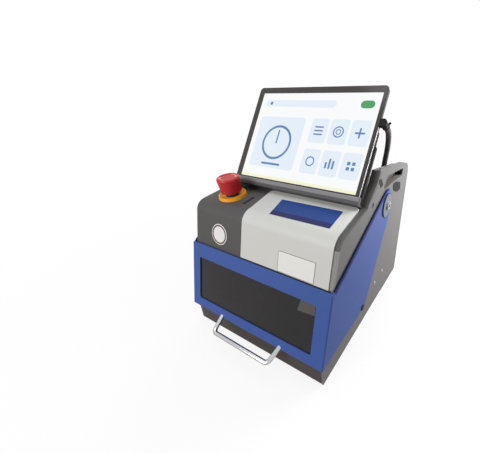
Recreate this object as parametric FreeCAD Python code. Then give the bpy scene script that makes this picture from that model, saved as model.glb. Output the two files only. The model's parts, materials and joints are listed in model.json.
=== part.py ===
import FreeCAD, Part
import math
import os

Vector = FreeCAD.Vector

# Key cutting machine. Lengths are millimetres and angles are degrees.
# Working frame: x to the machine's right, y to its back from the hood's lower front edge,
# z up from the underside of the base. The finished pieces are shifted to the part's origin.

# Sheet, gaps and fits
hood_sheet = 2.0
plate = 3.0
panel_sheet = 2.0
guide_gap = 0.1
shaft_gap = 0.05
seat_gap = 0.3
free_gap = 0.5
hood_gap = 1.0
far = 500.0

# Body and the tray inside it
body_half = 133.0
body_back = 346.0
wall_inside = body_half - plate
back_inside = body_back - plate
tray_inside = wall_inside - plate
tray_back = back_inside - plate
base_front = 8.5
base_tall = 40.0
base_back_tall = 64.0
base_step = 180.0
foot_round = 12.0
foot_tall = 3.0
foot_in = 25.0
foot_in_front = 26.5
foot_in_back = 31.0
foot_x = wall_inside - foot_in
foot_front = base_front + foot_in_front
foot_back = body_back - foot_in_back

# Hood, whose arms lie outside the side plates
hood_half = body_half + hood_gap + hood_sheet
arm_inside = hood_half - hood_sheet
hood_low = 38.0
hood_rise = 114.0
hood_lean = 28.6
hood_bend = 2.2
hood_hem = 2.6
hood_flange = base_front - hood_gap
hood_top = hood_low + hood_rise
front_angle = math.degrees(math.atan2(hood_lean, hood_rise))
front_cos = math.cos(math.radians(front_angle))
front_tan = math.tan(math.radians(front_angle))
arm_foot = 147.0
arm_foot_round = 11.0
arm_end = 27.5

# Window in the hood, measured up the leaning front and in from the hood's sides
window_in_left = 18.4
window_in_right = 21.4
window_low = 18.6
window_in_top = 22.1
window_corner = 3.0
pane_lap = 8.0
pane_thick = 3.0
pane_corner = 4.0
window_left = window_in_left - hood_half
window_right = hood_half - window_in_right
window_top = math.hypot(hood_rise, hood_lean) - window_in_top

# Handle on the hood's lower edge
handle_rod = 7.2
handle_root_half = 61.0
handle_root_y = 0.8
handle_root_up = 3.0
handle_bar_half = 57.0
handle_bar_y = -22.0
handle_bar_down = 8.0
handle_bend = 7.5
handle_set = 4.0

# Housing, seen from the side, with its front lip just above the hood
house_gap = 4.5
house_lip_up = 3.5
house_round = 20.0
house_slope = 7.4
house_knee_y = 66.0
house_knee_z = 221.5
house_back = 134.0
left_plate_back = 1.8
deck_fall = 14.3
strip_wide = 4.2
strip_up = 0.5
strip_tall = 51.0
strip_thick = 2.0
house_lip = hood_top + house_lip_up
slope_tan = math.tan(math.radians(house_slope))
house_back_z = house_knee_z + (house_back - house_knee_y) * slope_tan
deck_back_z = house_back_z - deck_fall
strip_low = house_lip + strip_up
strip_top = strip_low + strip_tall

# Pivot of the hood under the deck, and the arm's rear corner below the pivot
pivot_back = 80.0
pivot_down = 22.3
pivot_shank = 4.0
pivot_head = 6.5
pivot_head_tall = 2.8
pivot_socket = 3.0
pivot_boss = 11.0
pivot_boss_deep = 9.0
pivot_y = house_back + pivot_back
pivot_z = house_back_z - pivot_down
arm_knee = 20.0
arm_knee_round = 30.0
cap_round = 20.0
cap_thick = 2.0
bumper_round = 5.6
bumper_thick = 1.6
bumper_in = 10.0
bumper_up = 6.2

# Side plates, which hang a little below the base and hide its feet
plate_below = 0.5
plate_heel_below = 2.5
plate_heel = 96.0
plate_step = body_back - plate_heel

# Carrying ears on the side plates, as corners from front to back. The first ones are (distance
# behind the housing, height above the housing's back edge, radius). The others start at the back.
ear_foot = (2.0, 4.2, 6.0)
ear_waist = (32.0, 28.2, 12.0)
ear_brow = (37.0, 36.2, 6.0)
ear_tip = (43.5, 47.2, 6.0)
ear_ridge = (-63.0, 35.7, 60.0)
ear_heel = (0.0, 20.4, 25.0)
liner_wide = 12.0
liner_in = 4.0
liner_rim = 3.0
liner_back = 3.0
grip_floor = 2.0
grip_front = [(79.0, 27.7, 7.0), (61.0, 8.7, 4.0)]
grip_rear = [(-45.0, 7.7, 4.0), (-38.0, 19.7, 4.0)]
rim_front = [(78.0, 31.2, 8.0), (55.0, 5.7, 5.0)]
rim_rear = [(-42.0, 4.7, 5.0), (-33.0, 22.2, 5.0)]
ear_slot = [(38.0, 30.5, 1.5), (48.1, 16.9, 1.5), (57.6, 18.4, 1.5), (47.6, 30.2, 1.5)]
slit_back = 18.0
slit_down = 6.8
slit_long = 6.0
slit_tall = 8.0

# Black plugs in the side plates, as corners (distance behind the housing, height, radius)
side_plug = [
    (115.0, 3.7, 3.0),
    (121.0, -7.7, 3.0),
    (145.0, -17.3, 4.0),
    (165.0, -18.3, 3.0),
    (159.0, -4.3, 4.0),
    (132.0, 3.2, 6.0),
]
plug_lap = 1.0
plug_proud = 0.7

# Panel screws, as centres on the side plates
screw_head = 3.2
screw_head_tall = 1.6
screw_shank = 1.5
screw_deep = 5.0
screw_centres = [(241.0, 56.0), (200.5, 53.0)]

# Centre cover, whose sides slant a little to the left on the sloping top
cover_left = -25.5
cover_left_slant = 9.5
cover_in = 5.5
cover_right_slant = 3.0
cover_short = 7.5
cover_sheet = 2.5
cover_corner = 6.0
cover_right = body_half - cover_in
cover_back = house_back - cover_short

# Emergency stop, with heights above the sloping top
stop_in = 43.0
stop_ahead = 45.8
stop_ring = 23.0
stop_ring_tall = 5.0
stop_ring_seat = 2.5
stop_barrel = 11.0
stop_stem = 8.0
stop_stem_up = 20.0
stop_stem_down = 24.0
stop_head_low = 9.5
stop_head_tall = 24.5
stop_head_top = 18.8
stop_head_base = 16.5
stop_head_round = 3.5
stop_dish_rim = 3.8
stop_dish_deep = 1.2
stop_travel = 4.0
stop_block_half = 16.0
stop_block_tall = 30.0
stop_nut = 15.0
stop_nut_tall = 4.0
stop_x = stop_in - wall_inside
stop_y = house_back - stop_ahead

# Status light slot beside the stop
lens_off = 38.0
lens_ahead = 1.7
lens_long = 26.0
lens_wide = 6.0
lens_deep = 5.0
lens_sunk = 0.4
lens_x = stop_x + lens_off
lens_y = stop_y - lens_ahead

# Tablet, its ledge and holder, in the tablet's own tilted frame
tablet_tilt = 32.9
screen_ahead = 2.0
screen_up = 18.7
screen_tall = 148.0
tablet_half = 120.0
tablet_border = 13.5
tablet_thick = 8.5
tablet_corner = 6.5
glass_thick = 1.0
glass_inset = 0.5
holder_thick = 2.5
holder_over = 3.3
holder_over_top = 0.5
holder_step = 72.0
holder_top = 98.0
holder_under = 1.0
gusset_in = 11.5
gusset_thick = 3.0
gusset_top = 66.0
gusset_long = 56.0
gusset_toe = 6.0
gusset_heel = 12.0
ledge_over = 5.0
ledge_front = 9.0
ledge_top = 5.0
ledge_shelf = 3.5
ledge_round = 4.0
screen_y = house_back - screen_ahead
screen_z = house_back_z + screen_up
holder_half = tablet_half + holder_over
holder_half_top = tablet_half + holder_over_top
holder_low = tablet_border + holder_under
gusset_x = wall_inside - liner_wide - gusset_in
gusset_back = house_back + gusset_long
ledge_half = tablet_half + ledge_over

# Cable from the tablet down to the deck
cable_round = 4.5
cable_out = 5.2
plug_along = 107.0
plug_wide = 11.0
plug_out = 10.2
plug_front = 1.0
plug_rear = 8.0
plug_crown = 6.0
plug_collar = 4.0
plug_collar_round = 4.7
gland_in = 2.0
gland_back = 122.5
gland_round = 7.0
gland_nut_tall = 5.0
gland_tall = 12.0
gland_bore = 5.0
gland_step = 1.0
gland_lip = 0.8
cable_x = tablet_half + cable_out
gland_x = wall_inside - liner_wide - gland_in - gland_round
gland_y = house_back + gland_back

# Bed, cross slide and table, stacked up from the tray's floor
bed_in = 17.0
bed_ahead = 42.0
bed_thick = 8.0
rail_wide = 12.0
rail_tall = 8.0
rail_in = 30.0
block_wide = 24.0
block_long = 20.0
block_tall = 10.0
block_lift = 3.0
slide_in_left = 47.0
slide_in_right = 7.0
slide_half_y = 30.0
slide_thick = 7.0
x_rail_half = 18.0
table_half = 32.0
end_plate_left = 6.0
end_plate_right = 5.0
end_plate_half = 16.0
lead_round = 3.0
lead_journal = 2.0
lead_in = 4.0
lead_over = 6.0
nut_half = 8.0
nut_half_narrow = 5.5
nut_lift = 1.0
screw_rise = 6.5
motor_side = 28.0
motor_long = 28.0
journal_long = 7.0
work_in = 58.0
work_y = 72.0
bed_half = tray_inside - bed_in
bed_front = work_y - bed_ahead
bed_top = plate + bed_thick
slide_left = slide_in_left - tray_inside
slide_right = tray_inside - slide_in_right
slide_x = (slide_left + slide_right) / 2
y_rail_half = (slide_right - slide_left) / 2 - rail_in
slide_low = bed_top + block_lift + block_tall
slide_high = slide_low + slide_thick
table_low = slide_high + block_lift + block_tall
table_high = table_low + slide_thick
y_screw_z = bed_top + screw_rise
x_screw_z = slide_high + screw_rise
work_x = slide_right - work_in

# Key clamp on the table, before and behind the working axis
jaw_half = 24.0
jaw_ahead = 30.0
jaw_behind = 22.0
jaw_floor = 6.0
jaw_tall = 22.0
jaw_lug = 6.0
jaw_lug_tall = 19.0
jaw_gap = 8.0
jaw_fixed = 18.0
jaw_moving = 14.0
jaw_step = 3.0
jaw_screw_rise = 13.0
jaw_tip_in = 2.0
knob_round = 9.0
knob_long = 10.0
knob_off = 2.0
knob_flutes = 10
knob_flute = 1.8
clamp_collar = 5.0
clamp_collar_long = 2.0
jaw_front = work_y - jaw_ahead
jaw_back = work_y + jaw_behind
jaw_top = table_high + jaw_tall
jaw_axis_z = table_high + jaw_screw_rise
jaw_face = jaw_back - jaw_fixed - jaw_gap
jaw_screw_tip = jaw_face - jaw_tip_in
knob_back = jaw_front - knob_off
knob_front = knob_back - knob_long

# Column and spindle head, stacked up from the cutter's tip above the jaws
column_off = 30.0
column_half = 54.0
column_behind = 63.0
column_thick = 12.0
column_under = 46.3
motor_plate = 6.0
z_rail_half = 36.0
z_rail_below = 8.0
z_rail_short = 4.0
cutter_round = 2.0
cutter_above = 1.5
cutter_out = 5.5
collet_round = 10.0
collet_tall = 8.0
head_tall = 67.0
carriage_thick = 8.0
carriage_over = 22.0
shelf_thick = 10.0
spindle_round = 8.0
spindle_shell = 20.0
spindle_pulley = 15.0
motor_pulley = 10.0
pulley_lift = 1.5
pulley_tall = 10.5
pulley_flange = 1.5
pulley_rim = 2.2
belt_thick = 1.5
belt_reach = 58.0
drive_motor = 19.0
drive_motor_tall = 45.0
drive_shaft = 2.5
drive_shaft_deep = 12.0
drive_hole = 6.0
column_x = work_x - column_off
column_y = work_y + column_behind
column_top = house_back_z - column_under
motor_seat = column_top + motor_plate
z_screw_y = column_y - screw_rise + 0.5
cutter_tip = jaw_top + cutter_above
collet_low = cutter_tip + cutter_out
head_low = collet_low + collet_tall
head_high = head_low + head_tall
shelf_low = head_high - shelf_thick
z_rail_low = head_low - z_rail_below
z_rail_top = column_top - z_rail_short
carriage_back = column_y - block_lift - block_tall
carriage_front = carriage_back - carriage_thick
drive_x = work_x - belt_reach
carriage_left = drive_x - carriage_over
carriage_right = work_x + carriage_over
shelf_front = work_y - carriage_over
pulley_low = head_high + pulley_lift
pulley_top = pulley_low + pulley_tall

# Power supply and control board in the rear compartment
supply_in = 7.0
supply_in_back = 10.0
supply_wide = 95.0
supply_long = 140.0
supply_tall = 38.0
supply_slots = 7
slot_pitch = 16.0
slot_in = 15.0
slot_wide = 5.0
slot_deep = 1.5
board_off = 25.0
board_in = 9.0
board_in_back = 20.0
board_thick = 1.6
board_lift = 8.0
post_in = 5.0
post_round = 3.0
sink_wide = 44.0
sink_long = 40.0
sink_tall = 14.0
port_in = 14.0
port_spare = 22.0
port_count = 4
socket_in = 12.0
socket_wide = 16.0
socket_long = 10.0
socket_tall = 10.0
relay_in = 12.0
relay_wide = 18.0
relay_long = 14.0
relay_tall = 12.0
supply_left = supply_in - tray_inside
supply_right = supply_left + supply_wide
supply_back = tray_back - supply_in_back
supply_front = supply_back - supply_long
board_left = supply_right + board_off
board_right = tray_inside - board_in
board_front = column_y + column_thick + motor_long + board_off
board_back = tray_back - board_in_back
port_pitch = (board_right - board_left - port_spare) / port_count

# Fan and mains inlet in the rear panel
fan_in = 70.0
fan_z = 130.0
fan_half = 30.0
fan_thick = 15.0
fan_bore = 28.0
fan_hub = 12.0
fan_pin = 2.0
fan_blades = 7
fan_pitch = 35.0
fan_web = 3.0
grille_bars = 7
inlet_in = 52.0
inlet_z = 110.0
inlet_half_x = 25.0
inlet_half_z = 31.0
inlet_proud = 4.0
inlet_body_x = 14.0
inlet_body_z = 27.0
inlet_deep = 22.0
inlet_wall = 2.0
pit_down = 13.0
pit_half_z = 9.0
pit_deep = 15.0
well_up = 15.0
well_half_x = 9.0
well_half_z = 11.5
well_deep = 14.0
rocker_pin = 1.5
rocker_pin_in = 4.0
rocker_tilt = 10.0
fan_x = wall_inside - fan_in
inlet_x = inlet_in - wall_inside
pit_z = inlet_z - pit_down
well_z = inlet_z + well_up

# Place of the finished part's origin
front_most = handle_bar_y - handle_rod / 2
back_most = body_back + inlet_proud
shift = Vector(0, -(front_most + back_most) / 2, foot_tall)


def box(x0, x1, y0, y1, z0, z1):
    """Block between two corners."""
    return Part.makeBox(x1 - x0, y1 - y0, z1 - z0, Vector(x0, y0, z0))


def rod(radius, start, end):
    """Round bar between two points."""
    axis = end - start
    return Part.makeCylinder(radius, axis.Length, start, axis)


def rod_x(radius, x0, x1, y, z):
    """Round bar along x."""
    return rod(radius, Vector(x0, y, z), Vector(x1, y, z))


def rod_y(radius, y0, y1, x, z):
    """Round bar along y."""
    return rod(radius, Vector(x, y0, z), Vector(x, y1, z))


def rod_z(radius, z0, z1, x, y):
    """Round bar along z."""
    return rod(radius, Vector(x, y, z0), Vector(x, y, z1))


def meet(p, p_angle, q, q_angle):
    """Point where two lines cross, each given by a point and an angle above the y axis."""
    ay, az = math.cos(math.radians(p_angle)), math.sin(math.radians(p_angle))
    by, bz = math.cos(math.radians(q_angle)), math.sin(math.radians(q_angle))
    t = ((q[0] - p[0]) * bz - (q[1] - p[1]) * by) / (ay * bz - az * by)
    return (p[0] + t * ay, p[1] + t * az)


def rounded_wire(points, lift):
    """Closed wire through (a, b, radius) corners; lift turns (a, b) into a place in space."""
    ends = []
    count = len(points)
    for i, (a, b, radius) in enumerate(points):
        here = Vector(a, b, 0)
        if radius == 0:
            ends.append((here, None, here))
            continue
        back = Vector(*points[i - 1][:2], 0) - here
        ahead = Vector(*points[(i + 1) % count][:2], 0) - here
        back.normalize()
        ahead.normalize()
        half = back.getAngle(ahead) / 2
        reach = radius / math.tan(half)
        middle = back + ahead
        middle.normalize()
        crown = here + middle * (radius / math.sin(half) - radius)
        ends.append((here + back * reach, crown, here + ahead * reach))
    edges = []
    for i, (start, crown, finish) in enumerate(ends):
        if crown is not None:
            edges.append(Part.Arc(lift(start), lift(crown), lift(finish)).toShape())
        after = ends[(i + 1) % count][0]
        if (after - finish).Length > 1e-6:
            edges.append(Part.LineSegment(lift(finish), lift(after)).toShape())
    return Part.Wire(edges)


def side_prism(points, x0, x1):
    """Solid with a rounded outline in the y-z plane, from x0 to x1."""
    wire = rounded_wire(points, lambda p: Vector(x0, p.x, p.y))
    return Part.Face(wire).extrude(Vector(x1 - x0, 0, 0))


def front_prism(points, y0, y1):
    """Solid with a rounded outline in the x-z plane, from y0 to y1."""
    wire = rounded_wire(points, lambda p: Vector(p.x, y0, p.y))
    return Part.Face(wire).extrude(Vector(0, y1 - y0, 0))


def top_prism(points, z0, z1):
    """Solid with a rounded outline in the x-y plane, from z0 to z1."""
    wire = rounded_wire(points, lambda p: Vector(p.x, p.y, z0))
    return Part.Face(wire).extrude(Vector(0, 0, z1 - z0))


def rectangle(a0, a1, b0, b1, radius):
    """Corners of a rectangle with one corner radius."""
    return [(a0, b0, radius), (a1, b0, radius), (a1, b1, radius), (a0, b1, radius)]


def bent_sheet(path, thick, x0, x1):
    """Sheet bent along an open path of (y, z, radius), with its thickness below the path."""
    inner = []
    for i, (y, z, radius) in enumerate(path):
        sides = []
        for first, second in ((i - 1, i), (i, i + 1)):
            if first < 0 or second >= len(path):
                continue
            run = Vector(path[second][0] - path[first][0], path[second][1] - path[first][1], 0)
            run.normalize()
            sides.append(Vector(run.y, -run.x, 0))
        mean = sides[0] + sides[-1]
        mean.normalize()
        step = thick / mean.dot(sides[0])
        inner.append((y + mean.x * step, z + mean.y * step, max(radius - thick, 0)))
    return side_prism(path + inner[::-1], x0, x1)


def tube(points, radius, bend):
    """Round tube along straight runs joined by tangent arcs; bend 0 makes the arcs as wide as fits."""
    edges = []
    start = points[0]
    for i in range(1, len(points) - 1):
        here = points[i]
        back, ahead = points[i - 1] - here, points[i + 1] - here
        shorter = min(back.Length, ahead.Length)
        back.normalize()
        ahead.normalize()
        half_turn = (math.pi - back.getAngle(ahead)) / 2
        turn = bend if bend else 0.45 * shorter / math.tan(half_turn)
        reach = turn * math.tan(half_turn)
        middle = back + ahead
        middle.normalize()
        crown = here + middle * (turn / math.cos(half_turn) - turn)
        first, last = here + back * reach, here + ahead * reach
        print("bend", i, "radius", round(turn, 1))
        edges.append(Part.LineSegment(start, first).toShape())
        edges.append(Part.Arc(first, crown, last).toShape())
        start = last
    edges.append(Part.LineSegment(start, points[-1]).toShape())
    path = Part.Wire(edges)
    ring = Part.Wire(Part.makeCircle(radius, points[0], points[1] - points[0]))
    solid = path.makePipeShell([ring], True, False)
    share = solid.Volume / (math.pi * radius ** 2 * path.Length)
    print("tube length", round(path.Length, 1), "volume share", round(share, 4))
    return solid


def tilted(shape):
    """Move a shape from the tablet's own frame (y behind the glass, z up the glass) into place."""
    moved = shape.copy()
    moved.rotate(Vector(0, 0, 0), Vector(1, 0, 0), -tablet_tilt)
    moved.translate(Vector(0, screen_y, screen_z))
    return moved


def tilted_point(x, behind, along):
    """Place of one point of the tablet's own frame."""
    sin, cos = math.sin(math.radians(tablet_tilt)), math.cos(math.radians(tablet_tilt))
    return Vector(x, screen_y + behind * cos + along * sin, screen_z - behind * sin + along * cos)


def leaned(shape):
    """Move a shape from the hood front's own frame (y behind the front, z up it) into place."""
    moved = shape.copy()
    moved.rotate(Vector(0, 0, 0), Vector(1, 0, 0), -front_angle)
    moved.translate(Vector(0, 0, hood_low))
    return moved


def on_top(shape, x, y):
    """Stand a shape on the housing's sloping top, its own z axis square to the slope."""
    moved = shape.copy()
    moved.rotate(Vector(0, 0, 0), Vector(1, 0, 0), house_slope)
    moved.translate(Vector(x, y, house_top(y)))
    return moved


def mirrored(shape):
    """Mirror image of a shape on the machine's other side."""
    return shape.mirror(Vector(0, 0, 0), Vector(1, 0, 0))


def both_sides(shape):
    """A shape on the right and its mirror image on the left, as separate solids."""
    return Part.makeCompound([shape, mirrored(shape)])


def house_top(y):
    """Height of the housing's sloping top, and of the deck behind it."""
    if y <= house_back:
        return house_knee_z + (y - house_knee_y) * slope_tan
    return house_back_z - (y - house_back) * deck_fall / (back_inside - house_back)


def front_at(gap, z):
    """Depth at one height of a line behind the hood's leaning front by a gap."""
    return (z - hood_low) * front_tan + gap / front_cos


def house_corner(proud):
    """Corner where the housing's front and top would meet, moved outwards."""
    start = (front_at(house_gap - proud, house_lip), house_lip)
    rise = proud / math.cos(math.radians(house_slope))
    return meet(start, 90 - front_angle, (house_knee_y, house_knee_z + rise), house_slope)


def arm_outline():
    """Side outline of the hood, with its round end centred on the pivot."""
    run = Vector(pivot_y - hood_lean, pivot_z - hood_top, 0)
    rise = math.degrees(math.atan2(run.y, run.x) + math.asin(arm_end / run.Length))
    crown = meet((hood_lean, hood_top), rise, (pivot_y + arm_end, pivot_z), 90)
    return [
        (0, hood_low, hood_hem),
        (arm_foot, hood_low, arm_foot_round),
        (pivot_y + arm_end, pivot_z - arm_knee, arm_knee_round),
        (crown[0], crown[1], arm_end),
        (hood_lean, hood_top, 0),
    ]


def make_hood_shell():
    """Folded sheet hood: leaning front with a window opening and a turned-in hem, and two arms."""
    shell = side_prism(arm_outline(), -hood_half, hood_half)
    corners = []
    for edge in shell.Edges:
        place = edge.BoundBox
        if place.XLength < 1e-6 and place.ZLength > hood_rise / 2 and edge.CenterOfMass.y < hood_lean:
            corners.append(edge)
    shell = shell.makeFillet(hood_bend, corners)
    hem_top = hood_low + hood_sheet
    hollow = side_prism([
        (front_at(hood_sheet, hem_top), hem_top, hood_hem - hood_sheet),
        (hood_flange, hem_top, 0),
        (hood_flange, -far, 0),
        (far, -far, 0),
        (far, far, 0),
        (front_at(hood_sheet, far), far, 0),
    ], -arm_inside, arm_inside)
    shell = shell.cut(hollow)
    opening = rectangle(window_left, window_right, window_low, window_top, window_corner)
    shell = shell.cut(leaned(front_prism(opening, -hood_sheet, hood_sheet * 2)))
    shell = shell.cut(rod_x(pivot_shank + shaft_gap, -far, far, pivot_y, pivot_z))
    return shell.cut(make_hood_handle())


def make_hood_window():
    """Tinted pane behind the window opening."""
    outline = rectangle(window_left - pane_lap, window_right + pane_lap,
                        window_low - pane_lap, window_top + pane_lap, pane_corner)
    return leaned(front_prism(outline, hood_sheet, hood_sheet + pane_thick))


def make_hood_handle():
    """Bent rod handle with its posts set through the hood's lower edge."""
    root = Vector(handle_root_half, handle_root_y, hood_low + handle_root_up)
    corner = Vector(handle_bar_half, handle_bar_y, hood_low - handle_bar_down)
    inward = root - corner
    inward.normalize()
    end = root + inward * handle_set
    points = [Vector(-end.x, end.y, end.z), Vector(-corner.x, corner.y, corner.z), corner, end]
    return tube(points, handle_rod / 2, handle_bend)


def make_pivot_caps():
    """Round caps on the outside of the hood's arms, around the pivot bolts."""
    cap = rod_x(cap_round, hood_half, hood_half + cap_thick, pivot_y, pivot_z)
    rim = [e for e in cap.Edges if abs(e.CenterOfMass.x - hood_half - cap_thick) < 1e-6]
    cap = cap.makeFillet(cap_thick / 4, rim)
    return both_sides(cap.cut(rod_x(pivot_shank + shaft_gap, 0, far, pivot_y, pivot_z)))


def make_hood_bumpers():
    """Rubber buttons on the lower rear corners of the hood's arms."""
    y, z = arm_foot - bumper_in, hood_low + bumper_up
    button = rod_x(bumper_round, hood_half, hood_half + bumper_thick, y, z)
    return both_sides(button)


def make_pivot_bolts():
    """Shoulder bolts that carry the hood, one in each side plate."""
    seat = hood_half + cap_thick + seat_gap
    shank = rod_x(pivot_shank, wall_inside - pivot_boss_deep, seat, pivot_y, pivot_z)
    head = rod_x(pivot_head, seat, seat + pivot_head_tall, pivot_y, pivot_z)
    socket = rod_x(pivot_socket, seat + pivot_head_tall / 2, far, pivot_y, pivot_z)
    return both_sides(shank.fuse(head).cut(socket).removeSplitter())


def from_back(start, corner):
    """Corner (y, z, radius) on a side plate, from one given off a start and the housing's back edge."""
    return (start + corner[0], house_back_z + corner[1], corner[2])


def side_outline(back=0):
    """Outline of a side plate, from its lower front corner round by the back, set back along the housing."""
    corner = house_corner(-back)
    return [
        (base_front, -plate_below, 0),
        (plate_step, -plate_below, 0),
        (plate_step, -plate_heel_below, 0),
        (body_back, -plate_heel_below, 0),
        from_back(body_back, ear_heel),
        from_back(body_back, ear_ridge),
        from_back(house_back, ear_tip),
        from_back(house_back, ear_brow),
        from_back(house_back, ear_waist),
        from_back(house_back, ear_foot),
        (house_back, house_back_z - back / math.cos(math.radians(house_slope)), 0),
        (corner[0], corner[1], house_round - back),
        (front_at(house_gap + back, house_lip), house_lip, 0),
        (base_front, hood_low - hood_gap, 0),
    ]


def ear_opening(front, rear):
    """Corners of an opening in the ear that reaches from the housing towards the back."""
    return [from_back(house_back, c) for c in front] + [from_back(body_back, c) for c in rear]


def make_side_plate(back=0):
    """Right side plate with its ear, grip slot, plug hole and pivot boss, set back along the housing."""
    shape = side_prism(side_outline(back), wall_inside, body_half)
    shape = shape.fuse(rod_x(pivot_boss, wall_inside - pivot_boss_deep, wall_inside, pivot_y, pivot_z))
    for front, rear in ((grip_front, grip_rear), (ear_slot, []), (side_plug, [])):
        shape = shape.cut(side_prism(ear_opening(front, rear), 0, far))
    slit_y, slit_z = house_back + slit_back, house_back_z - slit_down
    shape = shape.cut(box(0, far, slit_y, slit_y + slit_long, slit_z, slit_z + slit_tall))
    shape = shape.cut(rod_x(pivot_shank, 0, far, pivot_y, pivot_z))
    for y, z in screw_centres:
        shape = shape.cut(rod_x(screw_shank, 0, far, y, z))
    return shape.removeSplitter()


def make_front_strip():
    """Strip on the right side plate's front edge, just above the hood."""
    outline = [
        (front_at(house_gap, strip_low), strip_low, 0),
        (front_at(house_gap, strip_top), strip_top, 0),
        (front_at(house_gap - strip_thick, strip_top), strip_top, 0),
        (front_at(house_gap - strip_thick, strip_low), strip_low, 0),
    ]
    return side_prism(outline, body_half - strip_wide, body_half)


def make_ear_liners():
    """Dark liners inside the ears: a rim along the ear, a thin back and a cup behind the grip."""
    inner = wall_inside - liner_wide
    above_deck = side_prism([
        (house_back, house_back_z, 0),
        (back_inside, house_top(back_inside), 0),
        (back_inside, far, 0),
        (house_back, far, 0),
    ], inner, wall_inside)
    wire = rounded_wire(side_outline(), lambda p: Vector(inner, p.x, p.y))
    outline = Part.Face(wire).makeOffset2D(-liner_in)
    liner = outline.extrude(Vector(liner_wide, 0, 0)).common(above_deck)
    face = max(liner.Faces, key=lambda f: f.Area if f.CenterOfMass.x < inner + 1e-6 else 0)
    pocket = face.makeOffset2D(-liner_rim).extrude(Vector(liner_wide - liner_back, 0, 0))
    pocket = pocket.cut(side_prism(ear_opening(rim_front, rim_rear), 0, far))
    liner = liner.cut(pocket).cut(side_prism(ear_opening(grip_front, grip_rear), inner + grip_floor, far))
    return both_sides(liner.removeSplitter())


def make_side_plugs():
    """Black plugs in the side plates, each with a lip around its hole."""
    outline = ear_opening(side_plug, [])
    body = side_prism(outline, wall_inside, body_half)
    face = Part.Face(rounded_wire(outline, lambda p: Vector(body_half, p.x, p.y)))
    lip = face.makeOffset2D(plug_lap).extrude(Vector(plug_proud, 0, 0))
    return both_sides(body.fuse(lip).removeSplitter())


def make_panel_screws():
    """Round-head screws that hold the side plates to the base walls."""
    screws = []
    for y, z in screw_centres:
        head = rod_x(screw_head, body_half, body_half + screw_head_tall, y, z)
        rim = [e for e in head.Edges if abs(e.CenterOfMass.x - body_half - screw_head_tall) < 1e-6]
        head = head.makeFillet(screw_head_tall * 0.7, rim)
        screw = head.fuse(rod_x(screw_shank, body_half - screw_deep, body_half, y, z)).removeSplitter()
        screws.extend([screw, mirrored(screw)])
    return Part.makeCompound(screws)


def make_base_pan():
    """Base tray with low walls that are higher at the back."""
    pan = box(-wall_inside, wall_inside, base_front, back_inside, 0, base_back_tall)
    pan = pan.cut(box(-tray_inside, tray_inside, base_front + plate, tray_back, plate, far))
    pan = pan.cut(box(-far, far, -far, base_step, base_tall, far))
    for y, z in screw_centres:
        pan = pan.cut(rod_x(screw_shank, -far, far, y, z))
    return pan


def make_feet():
    """Rubber feet under the base."""
    feet = []
    for x in (-foot_x, foot_x):
        for y in (foot_front, foot_back):
            foot = rod_z(foot_round, -foot_tall, 0, x, y)
            rim = [e for e in foot.Edges if abs(e.CenterOfMass.z + foot_tall) < 1e-6]
            feet.append(foot.makeFillet(foot_tall / 3, rim))
    return Part.makeCompound(feet)


def lens_outline():
    """Outline of the status light slot."""
    return rectangle(-lens_wide / 2, lens_wide / 2, -lens_long / 2, lens_long / 2, lens_wide * 0.3)


def make_top_housing():
    """Dark bent panel: leaning front above the chamber, rounded bend and sloping top."""
    corner = house_corner(0)
    path = [
        (front_at(house_gap, house_lip), house_lip, 0),
        (corner[0], corner[1], house_round),
        (house_back, house_back_z, 0),
    ]
    panel = bent_sheet(path, panel_sheet, -wall_inside, wall_inside)
    panel = panel.cut(on_top(rod_z(stop_barrel, -far, far, 0, 0), stop_x, stop_y))
    return panel.cut(on_top(top_prism(lens_outline(), -lens_deep, lens_deep), lens_x, lens_y))


def make_centre_cover():
    """Light cover over the middle of the housing, bent like it and lying on it."""
    corner = house_corner(cover_sheet)
    rise = cover_sheet / math.cos(math.radians(house_slope))
    path = [
        (front_at(house_gap - cover_sheet, house_lip), house_lip, 0),
        (corner[0], corner[1], house_round + cover_sheet),
        (cover_back, house_top(cover_back) + rise, 0),
    ]
    outline = [
        (cover_left, -far, 0),
        (cover_right, -far, 0),
        (cover_right, house_knee_y, 0),
        (cover_right - cover_right_slant, cover_back, 0),
        (cover_left - cover_left_slant, cover_back, 0),
        (cover_left, house_knee_y, 0),
    ]
    cover = bent_sheet(path, cover_sheet, cover_left - cover_left_slant, cover_right)
    cover = cover.common(top_prism(outline, 0, far))
    back = [e for e in cover.Edges if e.CenterOfMass.y > cover_back - 1 and e.BoundBox.XLength < 1e-6]
    return cover.makeFillet(cover_corner, back)


def make_rear_deck():
    """Flat deck behind the tablet, between the side plates."""
    path = [(house_back, house_back_z, 0), (back_inside, house_top(back_inside), 0)]
    deck = bent_sheet(path, panel_sheet, -wall_inside, wall_inside)
    return deck.cut(make_top_housing()).cut(rod_z(gland_bore, 0, far, gland_x, gland_y))


def make_rear_panel():
    """Rear panel with the fan grille and the cut-out for the inlet."""
    panel = box(-wall_inside, wall_inside, back_inside, body_back, 0, deck_back_z - panel_sheet)
    panel = panel.cut(box(inlet_x - inlet_body_x, inlet_x + inlet_body_x, 0, far,
                          inlet_z - inlet_body_z, inlet_z + inlet_body_z))
    pitch = 2 * fan_bore / grille_bars
    for i in range(grille_bars):
        z = fan_z - fan_bore + (i + 0.5) * pitch
        reach = math.sqrt(fan_bore ** 2 - (z - fan_z) ** 2)
        slot = rectangle(fan_x - reach, fan_x + reach, z - pitch / 4, z + pitch / 4, pitch / 5)
        panel = panel.cut(front_prism(slot, 0, far))
    return panel


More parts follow.
